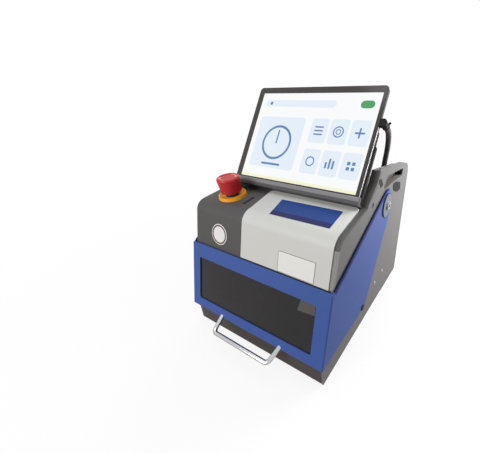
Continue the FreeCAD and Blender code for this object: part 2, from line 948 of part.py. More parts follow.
def make_fan_frame():
    """Square fan frame behind the grille, with spokes, a motor hub and the rotor's pin."""
    front = back_inside - fan_thick
    outline = rectangle(fan_x - fan_half, fan_x + fan_half, fan_z - fan_half, fan_z + fan_half, 4.0)
    frame = front_prism(outline, front, back_inside)
    frame = frame.cut(rod_y(fan_bore, 0, far, fan_x, fan_z))
    frame = frame.fuse(rod_y(fan_hub, front, front + fan_web, fan_x, fan_z))
    for i in range(4):
        spoke = box(0, fan_bore + 1, front, front + fan_web, -2, 2)
        spoke.rotate(Vector(0, 0, 0), Vector(0, 1, 0), 45 + 90 * i)
        spoke.translate(Vector(fan_x, 0, fan_z))
        frame = frame.fuse(spoke)
    return frame.fuse(rod_y(fan_pin, front, back_inside - fan_web, fan_x, fan_z)).removeSplitter()


def make_fan_rotor():
    """Fan rotor: a hub on the pin with pitched blades."""
    front = back_inside - fan_thick + fan_web + free_gap
    back = back_inside - free_gap
    middle = (front + back) / 2
    half = (back - front) * 0.36
    rotor = rod_y(fan_hub, front, back, 0, 0)
    for i in range(fan_blades):
        blade = box(fan_hub - 1, fan_bore - 1.2, middle - half, middle + half, -0.7, 0.7)
        blade.rotate(Vector(0, middle, 0), Vector(1, 0, 0), fan_pitch)
        blade.rotate(Vector(0, 0, 0), Vector(0, 1, 0), i * 360 / fan_blades)
        rotor = rotor.fuse(blade)
    rotor = rotor.cut(rod_y(fan_pin + shaft_gap, 0, back_inside - fan_web + free_gap, 0, 0))
    rotor.translate(Vector(fan_x, 0, fan_z))
    return rotor.removeSplitter()


def make_power_inlet():
    """Mains inlet with a switch well: a flange, a body, an open pit with three blades, a pivot pin."""
    outline = rectangle(inlet_x - inlet_half_x, inlet_x + inlet_half_x,
                        inlet_z - inlet_half_z, inlet_z + inlet_half_z, 4.0)
    inlet = front_prism(outline, body_back, back_most)
    inlet = inlet.fuse(box(inlet_x - inlet_body_x, inlet_x + inlet_body_x, back_most - inlet_deep, body_back,
                           inlet_z - inlet_body_z, inlet_z + inlet_body_z))
    inner = inlet_body_x - inlet_wall
    inlet = inlet.cut(box(inlet_x - inner, inlet_x + inner, back_most - pit_deep, far,
                          pit_z - pit_half_z, pit_z + pit_half_z))
    inlet = inlet.cut(box(inlet_x - well_half_x, inlet_x + well_half_x, back_most - well_deep, far,
                          well_z - well_half_z, well_z + well_half_z))
    for x, z in ((-7, -2), (0, 2), (7, -2)):
        inlet = inlet.fuse(box(inlet_x + x - 1, inlet_x + x + 1, back_most - pit_deep, back_most - pit_deep / 2,
                               pit_z + z - 2, pit_z + z + 2))
    pin = rod_x(rocker_pin, inlet_x - well_half_x, inlet_x + well_half_x, body_back - rocker_pin_in, well_z)
    return inlet.fuse(pin).removeSplitter()


def make_rocker():
    """Rocker of the mains switch, tipped to its off side on the pivot pin."""
    half_x = well_half_x - free_gap
    half_z = well_half_z - free_gap - 0.7
    outline = [
        (-4.0, -half_z * 0.4, 0.8),
        (0.5, -half_z, 0.8),
        (5.2, -half_z, 0.8),
        (4.2, 0, 12.0),
        (5.2, half_z, 0.8),
        (0.5, half_z, 0.8),
        (-4.0, half_z * 0.4, 0.8),
    ]
    rocker = side_prism(outline, -half_x, half_x).cut(rod_x(rocker_pin + shaft_gap, -far, far, 0, 0))
    rocker.rotate(Vector(0, 0, 0), Vector(1, 0, 0), -rocker_tilt)
    rocker.translate(Vector(inlet_x, body_back - rocker_pin_in, well_z))
    return rocker


def make_stop_ring():
    """Yellow bezel of the emergency stop, with a raised bevelled rim."""
    ring = Part.makeCone(stop_ring, stop_ring - 1.0, stop_ring_tall)
    pit = Part.makeCone(stop_head_base + 1.0, stop_ring - 2.5, stop_ring_tall - stop_ring_seat,
                        Vector(0, 0, stop_ring_seat))
    return on_top(ring.cut(pit).cut(rod_z(stop_barrel, -far, far, 0, 0)), stop_x, stop_y)


def make_stop_block():
    """Barrel, nut and contact block of the emergency stop, through and under the housing."""
    base = -stop_stem_down - stop_travel - free_gap
    half = stop_block_half
    block = rod_z(stop_barrel, base, stop_ring_seat, 0, 0)
    block = block.fuse(rod_z(stop_nut, -panel_sheet - stop_nut_tall, -panel_sheet, 0, 0))
    block = block.fuse(box(-half, half, -half, half, base - stop_block_tall, base))
    return on_top(block.cut(rod_z(stop_stem + shaft_gap, base, far, 0, 0)).removeSplitter(), stop_x, stop_y)


def make_stop_stem():
    """Sliding stem of the emergency stop."""
    return on_top(rod_z(stop_stem, -stop_stem_down, stop_stem_up, 0, 0), stop_x, stop_y)


def make_stop_head():
    """Red mushroom head, a little wider at its top, turning on the stem."""
    top = stop_head_low + stop_head_tall
    head = Part.makeCone(stop_head_base, stop_head_top, stop_head_tall, Vector(0, 0, stop_head_low))
    head = head.makeFillet(stop_head_round, [e for e in head.Edges if abs(e.CenterOfMass.z - top) < 1e-6])
    brim = stop_head_top - stop_dish_rim
    dish = Part.makeCone(brim - stop_dish_deep, brim, stop_dish_deep, Vector(0, 0, top - stop_dish_deep))
    socket = rod_z(stop_stem + shaft_gap, stop_head_low - 1, stop_stem_up + seat_gap, 0, 0)
    return on_top(head.cut(dish).cut(socket), stop_x, stop_y)


def make_status_lens():
    """Smoked light bar just below the surface of its slot in the housing's top."""
    lens = top_prism(lens_outline(), -lens_deep, -lens_sunk)
    flange = box(-lens_wide, lens_wide, -lens_long / 2 - 3, lens_long / 2 + 3, -lens_deep, -panel_sheet)
    return on_top(lens.fuse(flange).removeSplitter(), lens_x, lens_y)


def make_tablet_body():
    """Tablet's metal back shell."""
    outline = rectangle(-tablet_half, tablet_half, -tablet_border, screen_tall + tablet_border, tablet_corner)
    shell = front_prism(outline, glass_thick, tablet_thick)
    rim = [e for e in shell.Edges if abs(e.CenterOfMass.y - tablet_thick) < 1e-6]
    return tilted(shell.makeFillet(2.0, rim))


def make_tablet_glass():
    """Tablet's front glass, a little smaller than its shell."""
    half = tablet_half - glass_inset
    low = -tablet_border + glass_inset
    high = screen_tall + tablet_border - glass_inset
    return tilted(front_prism(rectangle(-half, half, low, high, tablet_corner - glass_inset), 0, glass_thick))


def make_tablet_holder():
    """Back plate behind the tablet, stepped in at its top, with two gussets on the deck."""
    back = tablet_thick + holder_thick
    right = [
        (holder_half, -holder_low, 0),
        (holder_half, holder_step, 2.0),
        (holder_half_top, holder_step + 3, 2.0),
        (holder_half_top, holder_top, 6.0),
    ]
    left = [(-x, z, radius) for x, z, radius in right[::-1]]
    holder = tilted(front_prism(right + left, tablet_thick, back))
    foot = tilted_point(0, back - 0.5, -holder_low + 4)
    top = tilted_point(0, back - 0.5, gusset_top)
    toe = house_back + gusset_toe
    for side in (-gusset_x, gusset_x):
        gusset = side_prism([
            (foot.y, foot.z, 0),
            (toe, house_top(toe), 0),
            (gusset_back, house_top(gusset_back), 0),
            (gusset_back, house_top(gusset_back) + gusset_heel, gusset_heel / 3),
            (top.y, top.z, 0),
        ], side - gusset_thick / 2, side + gusset_thick / 2)
        holder = holder.fuse(gusset)
    return holder.removeSplitter()


def make_tablet_ledge():
    """Rounded lip and shelf under the tablet's lower edge."""
    outline = [
        (-ledge_front, -tablet_border - ledge_shelf, 2.0),
        (tablet_thick, -tablet_border - ledge_shelf, 0),
        (tablet_thick, -tablet_border, 0),
        (-seat_gap, -tablet_border, 0),
        (-seat_gap, -ledge_top, 1.0),
        (-ledge_front, -ledge_top, ledge_round),
    ]
    return tilted(side_prism(outline, -ledge_half, ledge_half))


def cable_route():
    """Points that the cable's line follows, from the plug's collar down to the gland."""
    return [
        tilted_point(cable_x, plug_rear + plug_collar, plug_along),
        Vector(123.0, 222.0, 325.5),
        Vector(119.5, 240.0, 311.0),
        Vector(115.0, 253.5, 290.0),
        Vector(110.5, 257.5, 262.0),
        Vector(gland_x, gland_y, house_top(gland_y) + gland_tall),
    ]


def make_cable():
    """Cable as a tube of straight runs joined by tangent arcs, between its plug and its gland."""
    return tube(cable_route(), cable_round, 0).cut(make_cable_plug()).cut(make_cable_gland())


def make_cable_plug():
    """Angled plug on the tablet's right edge, with a collar where the cable leaves."""
    half = plug_wide / 2
    outline = [
        (tablet_half, plug_along - half, 0),
        (tablet_half + plug_out, plug_along - half, 2.0),
        (tablet_half + plug_out, plug_along + half, plug_crown),
        (tablet_half, plug_along + half, 0),
    ]
    body = front_prism(outline, plug_front, plug_rear)
    collar = rod_y(plug_collar_round, plug_rear, plug_rear + plug_collar, cable_x, plug_along)
    return tilted(body.fuse(collar).removeSplitter())


def make_cable_gland():
    """Gland in the deck, with a nut and a tapered boot that the cable ends in."""
    deck = house_top(gland_y)
    gland = rod_z(gland_round, deck + seat_gap, deck + gland_nut_tall, gland_x, gland_y)
    boot = Part.makeCone(gland_round - gland_step, cable_round + gland_lip, gland_tall - gland_nut_tall,
                         Vector(gland_x, gland_y, deck + gland_nut_tall))
    spigot = rod_z(gland_bore, deck - panel_sheet * 4, deck + seat_gap, gland_x, gland_y)
    return gland.fuse(boot).fuse(spigot).removeSplitter()


def make_machine_bed():
    """Bed plate on the base tray's floor."""
    return box(-bed_half, bed_half, bed_front, column_y + column_thick, plate, bed_top)


def make_column():
    """Upright column on the bed, bored for the bed screw, with a top plate for the lift motor."""
    column = box(column_x - column_half, column_x + column_half, column_y, column_y + column_thick,
                 bed_top, column_top)
    half = motor_side / 2
    seat = box(column_x - half, column_x + half, z_screw_y - half, column_y + column_thick,
               column_top, motor_seat)
    column = column.fuse(seat).cut(rod_y(lead_round + shaft_gap, 0, far, slide_x, y_screw_z))
    return column.cut(rod_z(lead_round + shaft_gap, 0, far, column_x, z_screw_y)).removeSplitter()


def make_guide_rails():
    """Four fixed guide rails: two along the bed and two up the column."""
    half = rail_wide / 2
    rails = []
    for side in (-1, 1):
        x = slide_x + side * y_rail_half
        rails.append(box(x - half, x + half, bed_front, column_y - free_gap, bed_top, bed_top + rail_tall))
        x = column_x + side * z_rail_half
        rails.append(box(x - half, x + half, column_y - rail_tall, column_y, z_rail_low, z_rail_top))
    return Part.makeCompound(rails)


def guide_block():
    """Guide block along y over a rail at the origin, open below for the rail."""
    half = block_wide / 2
    block = box(-half, half, -block_long / 2, block_long / 2, block_lift, block_lift + block_tall)
    groove = rail_wide / 2 + guide_gap
    return block.cut(box(-groove, groove, -far, far, -far, rail_tall + guide_gap))


def make_y_blocks():
    """Four guide blocks under the cross slide."""
    blocks = []
    for x in (slide_x - y_rail_half, slide_x + y_rail_half):
        for side in (-1, 1):
            block = guide_block()
            block.translate(Vector(x, work_y + side * (slide_half_y - block_long / 2), bed_top))
            blocks.append(block)
    return Part.makeCompound(blocks)


def make_cross_slide():
    """Cross slide with its screw nut below and end plates for the table's screw."""
    left = slide_left - end_plate_left
    slide = box(left, slide_right, work_y - slide_half_y, work_y + slide_half_y, slide_low, slide_high)
    slide = slide.fuse(box(slide_x - nut_half, slide_x + nut_half, work_y - nut_half, work_y + nut_half,
                           bed_top + nut_lift, slide_low))
    for x0, x1 in ((left, slide_left), (slide_right - end_plate_right, slide_right)):
        slide = slide.fuse(box(x0, x1, work_y - end_plate_half, work_y + end_plate_half, slide_high, table_low))
    slide = slide.cut(rod_y(lead_round + shaft_gap, 0, far, slide_x, y_screw_z))
    return slide.cut(rod_x(lead_round + shaft_gap, -far, far, work_y, x_screw_z)).removeSplitter()


def make_x_rails():
    """Two guide rails on the cross slide."""
    half = rail_wide / 2
    rails = []
    for y in (work_y - x_rail_half, work_y + x_rail_half):
        rails.append(box(slide_left, slide_right - end_plate_right, y - half, y + half,
                         slide_high, slide_high + rail_tall))
    return Part.makeCompound(rails)


def make_x_blocks():
    """Four guide blocks under the key table."""
    blocks = []
    for y in (work_y - x_rail_half, work_y + x_rail_half):
        for side in (-1, 1):
            block = guide_block()
            block.rotate(Vector(0, 0, 0), Vector(0, 0, 1), 90)
            block.translate(Vector(work_x + side * (table_half - block_long / 2), y, slide_high))
            blocks.append(block)
    return Part.makeCompound(blocks)


def make_key_table():
    """Key table with its screw nut below."""
    table = box(work_x - table_half, work_x + table_half, work_y - slide_half_y, work_y + slide_half_y,
                table_low, table_high)
    table = table.fuse(box(work_x - nut_half, work_x + nut_half, work_y - nut_half_narrow, work_y + nut_half_narrow,
                           slide_high + nut_lift, table_low))
    return table.cut(rod_x(lead_round + shaft_gap, -far, far, work_y, x_screw_z)).removeSplitter()


def make_jaw_body():
    """Clamp body: a floor, a fixed jaw at the back and a lug at the front for the screw."""
    x0, x1 = work_x - jaw_half, work_x + jaw_half
    face = jaw_back - jaw_fixed
    body = box(x0, x1, jaw_front, jaw_back, table_high, table_high + jaw_floor)
    body = body.fuse(box(x0, x1, face, jaw_back, table_high, jaw_top))
    body = body.fuse(box(x0, x1, jaw_front, jaw_front + jaw_lug, table_high, table_high + jaw_lug_tall))
    body = body.cut(box(x0 - 1, x1 + 1, face - 1, face + jaw_step, jaw_top - jaw_step, far))
    return body.cut(rod_y(lead_round + shaft_gap, 0, face - jaw_gap, work_x, jaw_axis_z)).removeSplitter()


def make_moving_jaw():
    """Moving jaw, which slides on the clamp body's floor towards the fixed jaw."""
    x0, x1 = work_x - jaw_half, work_x + jaw_half
    jaw = box(x0, x1, jaw_face - jaw_moving, jaw_face, table_high + jaw_floor + guide_gap, jaw_top)
    jaw = jaw.cut(box(x0 - 1, x1 + 1, jaw_face - jaw_step, jaw_face + 1, jaw_top - jaw_step, far))
    return jaw.cut(rod_y(lead_round + shaft_gap, 0, jaw_screw_tip + seat_gap, work_x, jaw_axis_z))


def make_clamp_screw():
    """Captive clamp screw with a fluted knob in front of the lug and a collar behind it."""
    screw = rod_y(lead_round, knob_front, jaw_screw_tip, 0, 0)
    behind = jaw_front + jaw_lug + seat_gap
    screw = screw.fuse(rod_y(clamp_collar, behind, behind + clamp_collar_long, 0, 0))
    knob = rod_y(knob_round, knob_front, knob_back, 0, 0)
    for i in range(knob_flutes):
        angle = 2 * math.pi * i / knob_flutes
        out = knob_round + knob_flute * 0.4
        knob = knob.cut(rod_y(knob_flute, 0, far, out * math.cos(angle), out * math.sin(angle)))
    screw = screw.fuse(knob).removeSplitter()
    screw.translate(Vector(work_x, 0, jaw_axis_z))
    return screw


def lead_screw(start, end):
    """Lead screw: a shaft with a slimmer journal that goes into its motor."""
    axis = end - start
    axis.normalize()
    return rod(lead_round, start, end).fuse(rod(lead_journal, end, end + axis * journal_long)).removeSplitter()


def make_y_screw():
    """Lead screw along the bed, running in the column."""
    start = Vector(slide_x, bed_front + lead_in, y_screw_z)
    return lead_screw(start, Vector(slide_x, column_y + column_thick, y_screw_z))


def make_x_screw():
    """Lead screw of the key table, running in the cross slide's end plates."""
    start = Vector(slide_right, work_y, x_screw_z)
    return lead_screw(start, Vector(slide_left - end_plate_left, work_y, x_screw_z))


def make_z_screw():
    """Upright lead screw of the spindle head, hung from the column's top plate."""
    return lead_screw(Vector(column_x, z_screw_y, head_low - lead_over), Vector(column_x, z_screw_y, motor_seat))


def stepper(front, axis):
    """Square motor bored for a screw's journal; the axis points out of its back."""
    half = motor_side / 2
    body = top_prism(rectangle(-half, half, -half, half, 3.0), 0, motor_long)
    rim = [e for e in body.Edges if e.BoundBox.ZLength < 1e-6 and e.CenterOfMass.z > motor_long - 1e-3]
    body = body.makeChamfer(1.0, rim)
    body = body.cut(rod_z(lead_journal + shaft_gap, -1, journal_long + seat_gap, 0, 0))
    body = body.cut(rod_z(lead_round + seat_gap, -1, seat_gap, 0, 0))
    body.Placement = FreeCAD.Placement(front, FreeCAD.Rotation(Vector(0, 0, 1), axis))
    return body


def make_axis_motors():
    """Fixed motors of the bed screw and of the lift screw."""
    return Part.makeCompound([
        stepper(Vector(slide_x, column_y + column_thick, y_screw_z), Vector(0, 1, 0)),
        stepper(Vector(column_x, z_screw_y, motor_seat), Vector(0, 0, 1)),
    ])


def make_x_motor():
    """Motor of the key table's screw, on the cross slide's left end plate."""
    return stepper(Vector(slide_left - end_plate_left, work_y, x_screw_z), Vector(-1, 0, 0))


def make_head_carriage():
    """Spindle head: an upright carriage, a shelf for spindle and motor, and the lift nut."""
    head = box(carriage_left, carriage_right, carriage_front, carriage_back, head_low, head_high)
    head = head.fuse(box(carriage_left, carriage_right, shelf_front, carriage_front, shelf_low, head_high))
    head = head.fuse(box(column_x - nut_half, column_x + nut_half, carriage_back, column_y - nut_lift,
                         head_low, head_low + 2 * nut_half))
    head = head.cut(rod_z(lead_round + shaft_gap, 0, far, column_x, z_screw_y))
    head = head.cut(rod_z(spindle_round + shaft_gap, 0, far, work_x, work_y))
    return head.cut(rod_z(drive_hole, 0, far, drive_x, work_y)).removeSplitter()


def make_z_blocks():
    """Four guide blocks between the carriage and the column's rails."""
    blocks = []
    for x in (column_x - z_rail_half, column_x + z_rail_half):
        for z in (head_low + block_long / 2, head_high - block_long / 2):
            block = guide_block()
            block.rotate(Vector(0, 0, 0), Vector(1, 0, 0), 90)
            block.translate(Vector(x, column_y, z))
            blocks.append(block)
    return Part.makeCompound(blocks)


def make_spindle_housing():
    """Bearing housing under the shelf, bored for the spindle."""
    outline = rectangle(work_x - spindle_shell, work_x + spindle_shell,
                        work_y - spindle_shell, work_y + spindle_shell, 5.0)
    return top_prism(outline, head_low, shelf_low).cut(rod_z(spindle_round + shaft_gap, 0, far, work_x, work_y))


def make_spindle():
    """Spindle shaft with its collet nose."""
    shaft = rod_z(spindle_round, collet_low, pulley_top, work_x, work_y)
    shaft = shaft.fuse(rod_z(collet_round, collet_low, head_low - free_gap, work_x, work_y))
    return shaft.cut(rod_z(cutter_round, 0, head_low, work_x, work_y)).removeSplitter()


def make_cutter():
    """Milling cutter held in the collet."""
    cutter = rod_z(cutter_round, cutter_tip + 1, head_low, work_x, work_y)
    tip = Part.makeCone(cutter_round / 2, cutter_round, 1, Vector(work_x, work_y, cutter_tip))
    return cutter.fuse(tip).removeSplitter()


def pulley(radius, bore, x):
    """Flanged belt pulley above the head's shelf, at one place along x."""
    body = rod_z(radius, pulley_low, pulley_top, x, work_y)
    for low in (pulley_low, pulley_top - pulley_flange):
        body = body.fuse(rod_z(radius + pulley_rim, low, low + pulley_flange, x, work_y))
    return body.cut(rod_z(bore, 0, far, x, work_y)).removeSplitter()


def make_motor_pulley():
    """Pulley and shaft of the spindle motor."""
    shaft = rod_z(drive_shaft, shelf_low - drive_shaft_deep, pulley_top, drive_x, work_y)
    return pulley(motor_pulley, drive_shaft, drive_x).fuse(shaft).removeSplitter()


def belt_face(extra, z):
    """Face inside a belt line round both pulleys, widened by an extra."""
    big, small = spindle_pulley + extra, motor_pulley + extra
    lean = math.asin((big - small) / (work_x - drive_x))
    sin, cos = math.sin(lean), math.cos(lean)
    a = Vector(work_x - big * sin, work_y + big * cos, z)
    b = Vector(drive_x - small * sin, work_y + small * cos, z)
    c = Vector(drive_x - small, work_y, z)
    d = Vector(b.x, 2 * work_y - b.y, z)
    e = Vector(a.x, 2 * work_y - a.y, z)
    f = Vector(work_x + big, work_y, z)
    wire = Part.Wire([
        Part.LineSegment(a, b).toShape(),
        Part.Arc(b, c, d).toShape(),
        Part.LineSegment(d, e).toShape(),
        Part.Arc(e, f, a).toShape(),
    ])
    return Part.Face(wire)


def make_drive_belt():
    """Belt round the two pulleys, between their flanges."""
    low = pulley_low + pulley_flange + seat_gap
    tall = pulley_tall - 2 * (pulley_flange + seat_gap)
    loop = belt_face(seat_gap + belt_thick, low).cut(belt_face(seat_gap, low))
    return loop.Faces[0].extrude(Vector(0, 0, tall))


def make_spindle_motor():
    """Round spindle motor under the shelf, bored for its shaft."""
    low = shelf_low - drive_motor_tall
    can = rod_z(drive_motor, low, shelf_low, drive_x, work_y)
    can = can.makeChamfer(1.5, [e for e in can.Edges if abs(e.CenterOfMass.z - low) < 1e-6])
    return can.cut(rod_z(drive_shaft + shaft_gap, shelf_low - drive_shaft_deep - seat_gap, far, drive_x, work_y))


def make_power_supply():
    """Power supply in a metal case on the base tray's floor, with slots in its lid."""
    top = plate + supply_tall
    case = box(supply_left, supply_right, supply_front, supply_back, plate, top)
    for i in range(supply_slots):
        y = supply_front + (i + 1) * slot_pitch
        case = case.cut(box(supply_left + slot_in, supply_right - slot_in, y, y + slot_wide, top - slot_deep, far))
    return case


def make_control_board():
    """Control board on four stand-offs, with a heat sink, connectors and relays."""
    low = plate + board_lift
    top = low + board_thick
    board = box(board_left, board_right, board_front, board_back, low, top)
    for x in (board_left + post_in, board_right - post_in):
        for y in (board_front + post_in, board_back - post_in):
            board = board.fuse(rod_z(post_round, plate, low, x, y))
    x, y = (board_left + board_right) / 2, (board_front + board_back) / 2
    board = board.fuse(box(x - sink_wide / 2, x + sink_wide / 2, y - sink_long / 2, y + sink_long / 2,
                           top, top + sink_tall))
    front, back = board_front + socket_in, board_back - relay_in
    for i in range(port_count):
        x = board_left + port_in + i * port_pitch
        board = board.fuse(box(x, x + socket_wide, front, front + socket_long, top, top + socket_tall))
        board = board.fuse(box(x, x + relay_wide, back - relay_long, back, top, top + relay_tall))
    return board.removeSplitter()


parts = {
    "base_pan": make_base_pan(),
    "right_side_plate": make_side_plate().fuse(make_front_strip()).removeSplitter(),
    "left_side_plate": mirrored(make_side_plate(left_plate_back)),
    "ear_liners": make_ear_liners(),
    "side_plugs": make_side_plugs(),
    "panel_screws": make_panel_screws(),
    "rubber_feet": make_feet(),
    "top_housing": make_top_housing(),
    "centre_cover": make_centre_cover(),
    "rear_deck": make_rear_deck(),
    "rear_panel": make_rear_panel(),
    "fan_frame": make_fan_frame(),
    "fan_rotor": make_fan_rotor(),
    "power_inlet": make_power_inlet(),
    "rocker_switch": make_rocker(),
    "hood_shell": make_hood_shell(),
    "hood_window": make_hood_window(),
    "hood_handle": make_hood_handle(),
    "hood_bumpers": make_hood_bumpers(),
    "pivot_caps": make_pivot_caps(),
    "pivot_bolts": make_pivot_bolts(),
    "estop_ring": make_stop_ring(),
    "estop_block": make_stop_block(),
    "estop_stem": make_stop_stem(),
    "estop_head": make_stop_head(),
    "status_lens": make_status_lens(),
    "tablet_body": make_tablet_body(),
    "tablet_glass": make_tablet_glass(),
    "tablet_holder": make_tablet_holder(),
    "tablet_ledge": make_tablet_ledge(),
    "data_cable": make_cable(),
    "cable_plug": make_cable_plug(),
    "cable_gland": make_cable_gland(),
    "machine_bed": make_machine_bed(),
    "z_column": make_column(),
    "guide_rails": make_guide_rails(),
    "axis_motors": make_axis_motors(),
    "y_screw": make_y_screw(),
    "z_screw": make_z_screw(),
    "cross_slide": make_cross_slide(),
    "y_blocks": make_y_blocks(),
    "x_rails": make_x_rails(),
    "x_motor": make_x_motor(),
    "x_screw": make_x_screw(),
    "key_table": make_key_table(),
    "x_blocks": make_x_blocks(),
    "jaw_body": make_jaw_body(),
    "moving_jaw": make_moving_jaw(),
    "clamp_screw": make_clamp_screw(),
    "head_carriage": make_head_carriage(),
    "z_blocks": make_z_blocks(),
    "spindle_housing": make_spindle_housing(),
    "spindle_motor": make_spindle_motor(),
    "drive_belt": make_drive_belt(),
    "spindle_shaft": make_spindle(),
    "cutter": make_cutter(),
    "spindle_pulley": pulley(spindle_pulley, spindle_round, work_x),
    "motor_pulley": make_motor_pulley(),
    "power_supply": make_power_supply(),
    "control_board": make_control_board(),
}

os.makedirs("parts", exist_ok=True)
for name, shape in parts.items():
    placed = shape.copy()
    placed.translate(shift)
    placed.exportStep("parts/" + name + ".step")
    print(name, len(shape.Solids), "solid", "valid" if shape.isValid() else "NOT VALID")
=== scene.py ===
"""Looks of a bench-top key cutting machine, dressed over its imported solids.

Sizes are millimetres in the machine's working frame and angles are degrees, except where a docstring says so.
"""

import json
import logging
import math
from dataclasses import dataclass
from enum import Enum
from typing import Any, Optional, Sequence, Union

import bmesh
import bpy
import numpy as np
from mathutils import Matrix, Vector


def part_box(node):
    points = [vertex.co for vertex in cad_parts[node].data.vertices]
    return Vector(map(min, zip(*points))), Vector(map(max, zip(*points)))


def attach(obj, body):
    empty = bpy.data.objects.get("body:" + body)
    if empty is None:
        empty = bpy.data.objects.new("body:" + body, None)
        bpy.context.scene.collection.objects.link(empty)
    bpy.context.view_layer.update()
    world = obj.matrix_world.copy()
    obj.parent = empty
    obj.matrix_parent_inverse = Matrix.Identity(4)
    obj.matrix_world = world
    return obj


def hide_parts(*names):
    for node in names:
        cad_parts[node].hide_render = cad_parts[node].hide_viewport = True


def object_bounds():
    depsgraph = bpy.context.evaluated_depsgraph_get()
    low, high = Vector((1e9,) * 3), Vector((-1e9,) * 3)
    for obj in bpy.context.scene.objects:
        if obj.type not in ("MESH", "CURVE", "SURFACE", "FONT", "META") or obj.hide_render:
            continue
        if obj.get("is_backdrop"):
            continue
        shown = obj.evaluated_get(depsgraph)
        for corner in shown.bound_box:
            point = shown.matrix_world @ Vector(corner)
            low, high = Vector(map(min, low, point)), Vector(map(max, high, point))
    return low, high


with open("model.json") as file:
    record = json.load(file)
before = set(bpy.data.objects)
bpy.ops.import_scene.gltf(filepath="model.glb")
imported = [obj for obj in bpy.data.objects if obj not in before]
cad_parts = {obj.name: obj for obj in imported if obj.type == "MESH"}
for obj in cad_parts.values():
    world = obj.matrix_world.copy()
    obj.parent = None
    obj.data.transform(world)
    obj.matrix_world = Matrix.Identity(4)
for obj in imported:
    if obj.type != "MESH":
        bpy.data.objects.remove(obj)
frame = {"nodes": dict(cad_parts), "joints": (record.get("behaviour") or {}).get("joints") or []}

log = logging.getLogger("key_machine")

MM = 0.001
IMAGE_WIDTH = 480
IMAGE_HEIGHT = 453
WHITE = (1.0, 1.0, 1.0, 1.0)
# Brightest part of a base colour, so that no surface sends back all of its light
BRIGHTEST = 0.95
# Thickness of a painted skin over a sheet, and its gap to the sheet, in millimetres
SKIN = 0.2
SKIN_GAP = 0.02
# Share of a plate's thickness that its upper edge is bevelled by
BEVEL_SHARE = 0.3

Colour = tuple[float, float, float]
Pair = tuple[float, float]
Triple = tuple[float, float, float]
Value = Union["Socket", float]


def srgb(red: int, green: int, blue: int) -> Colour:
    """Turn a screen colour into scene-linear light.

    Args:
        red: Red from 0 to 255.
        green: Green from 0 to 255.
        blue: Blue from 0 to 255.

    Returns:
        The linear colour.
    """
    parts = np.array([red, green, blue]) / 255
    light = np.where(parts <= 0.04045, parts / 12.92, ((parts + 0.055) / 1.055) ** 2.4)
    return tuple(float(part) for part in light)


def joint_place(name: str) -> np.ndarray:
    """Rest place of one of the frame's joints, in metres."""
    return np.array(next(joint["pos_m"] for joint in frame["joints"] if joint["name"] == name))


# The machine's working frame starts at the hood's lower front edge, on the base's underside
PIVOT_Y, PIVOT_Z = 214.0, 208.03
WORK_ZERO = joint_place("hood_hinge") - np.array([0.0, PIVOT_Y, PIVOT_Z]) * MM


def at(x: float, y: float, z: float) -> np.ndarray:
    """Place in metres of a point given in millimetres from the working frame's zero."""
    return WORK_ZERO + np.array([x, y, z]) * MM


class Socket:
    """A shader value that takes part in Python arithmetic; each operation adds one Math node."""

    def __init__(self, shading: "Shading", output: bpy.types.NodeSocket) -> None:
        """Wrap one output of a node."""
        self.shading = shading
        self.output = output

    def maths(self, operation: str, *values: Value) -> "Socket":
        """Add one Math node.

        Args:
            operation: Blender's name for the operation.
            values: Its operands, in order.

        Returns:
            The node's result.
        """
        return self.shading.node("ShaderNodeMath", {"operation": operation}, dict(enumerate(values)))

    def __add__(self, other: Value) -> "Socket":
        """Sum."""
        return self.maths("ADD", self, other)

    def __radd__(self, other: Value) -> "Socket":
        """Sum, with the number first."""
        return self.maths("ADD", other, self)

    def __mul__(self, other: Value) -> "Socket":
        """Product."""
        return self.maths("MULTIPLY", self, other)

    def __rmul__(self, other: Value) -> "Socket":
        """Product, with the number first."""
        return self.maths("MULTIPLY", other, self)

    def at_most(self, limit: Value) -> "Socket":
        """The value, held at or below a limit."""
        return self.maths("MINIMUM", self, limit)


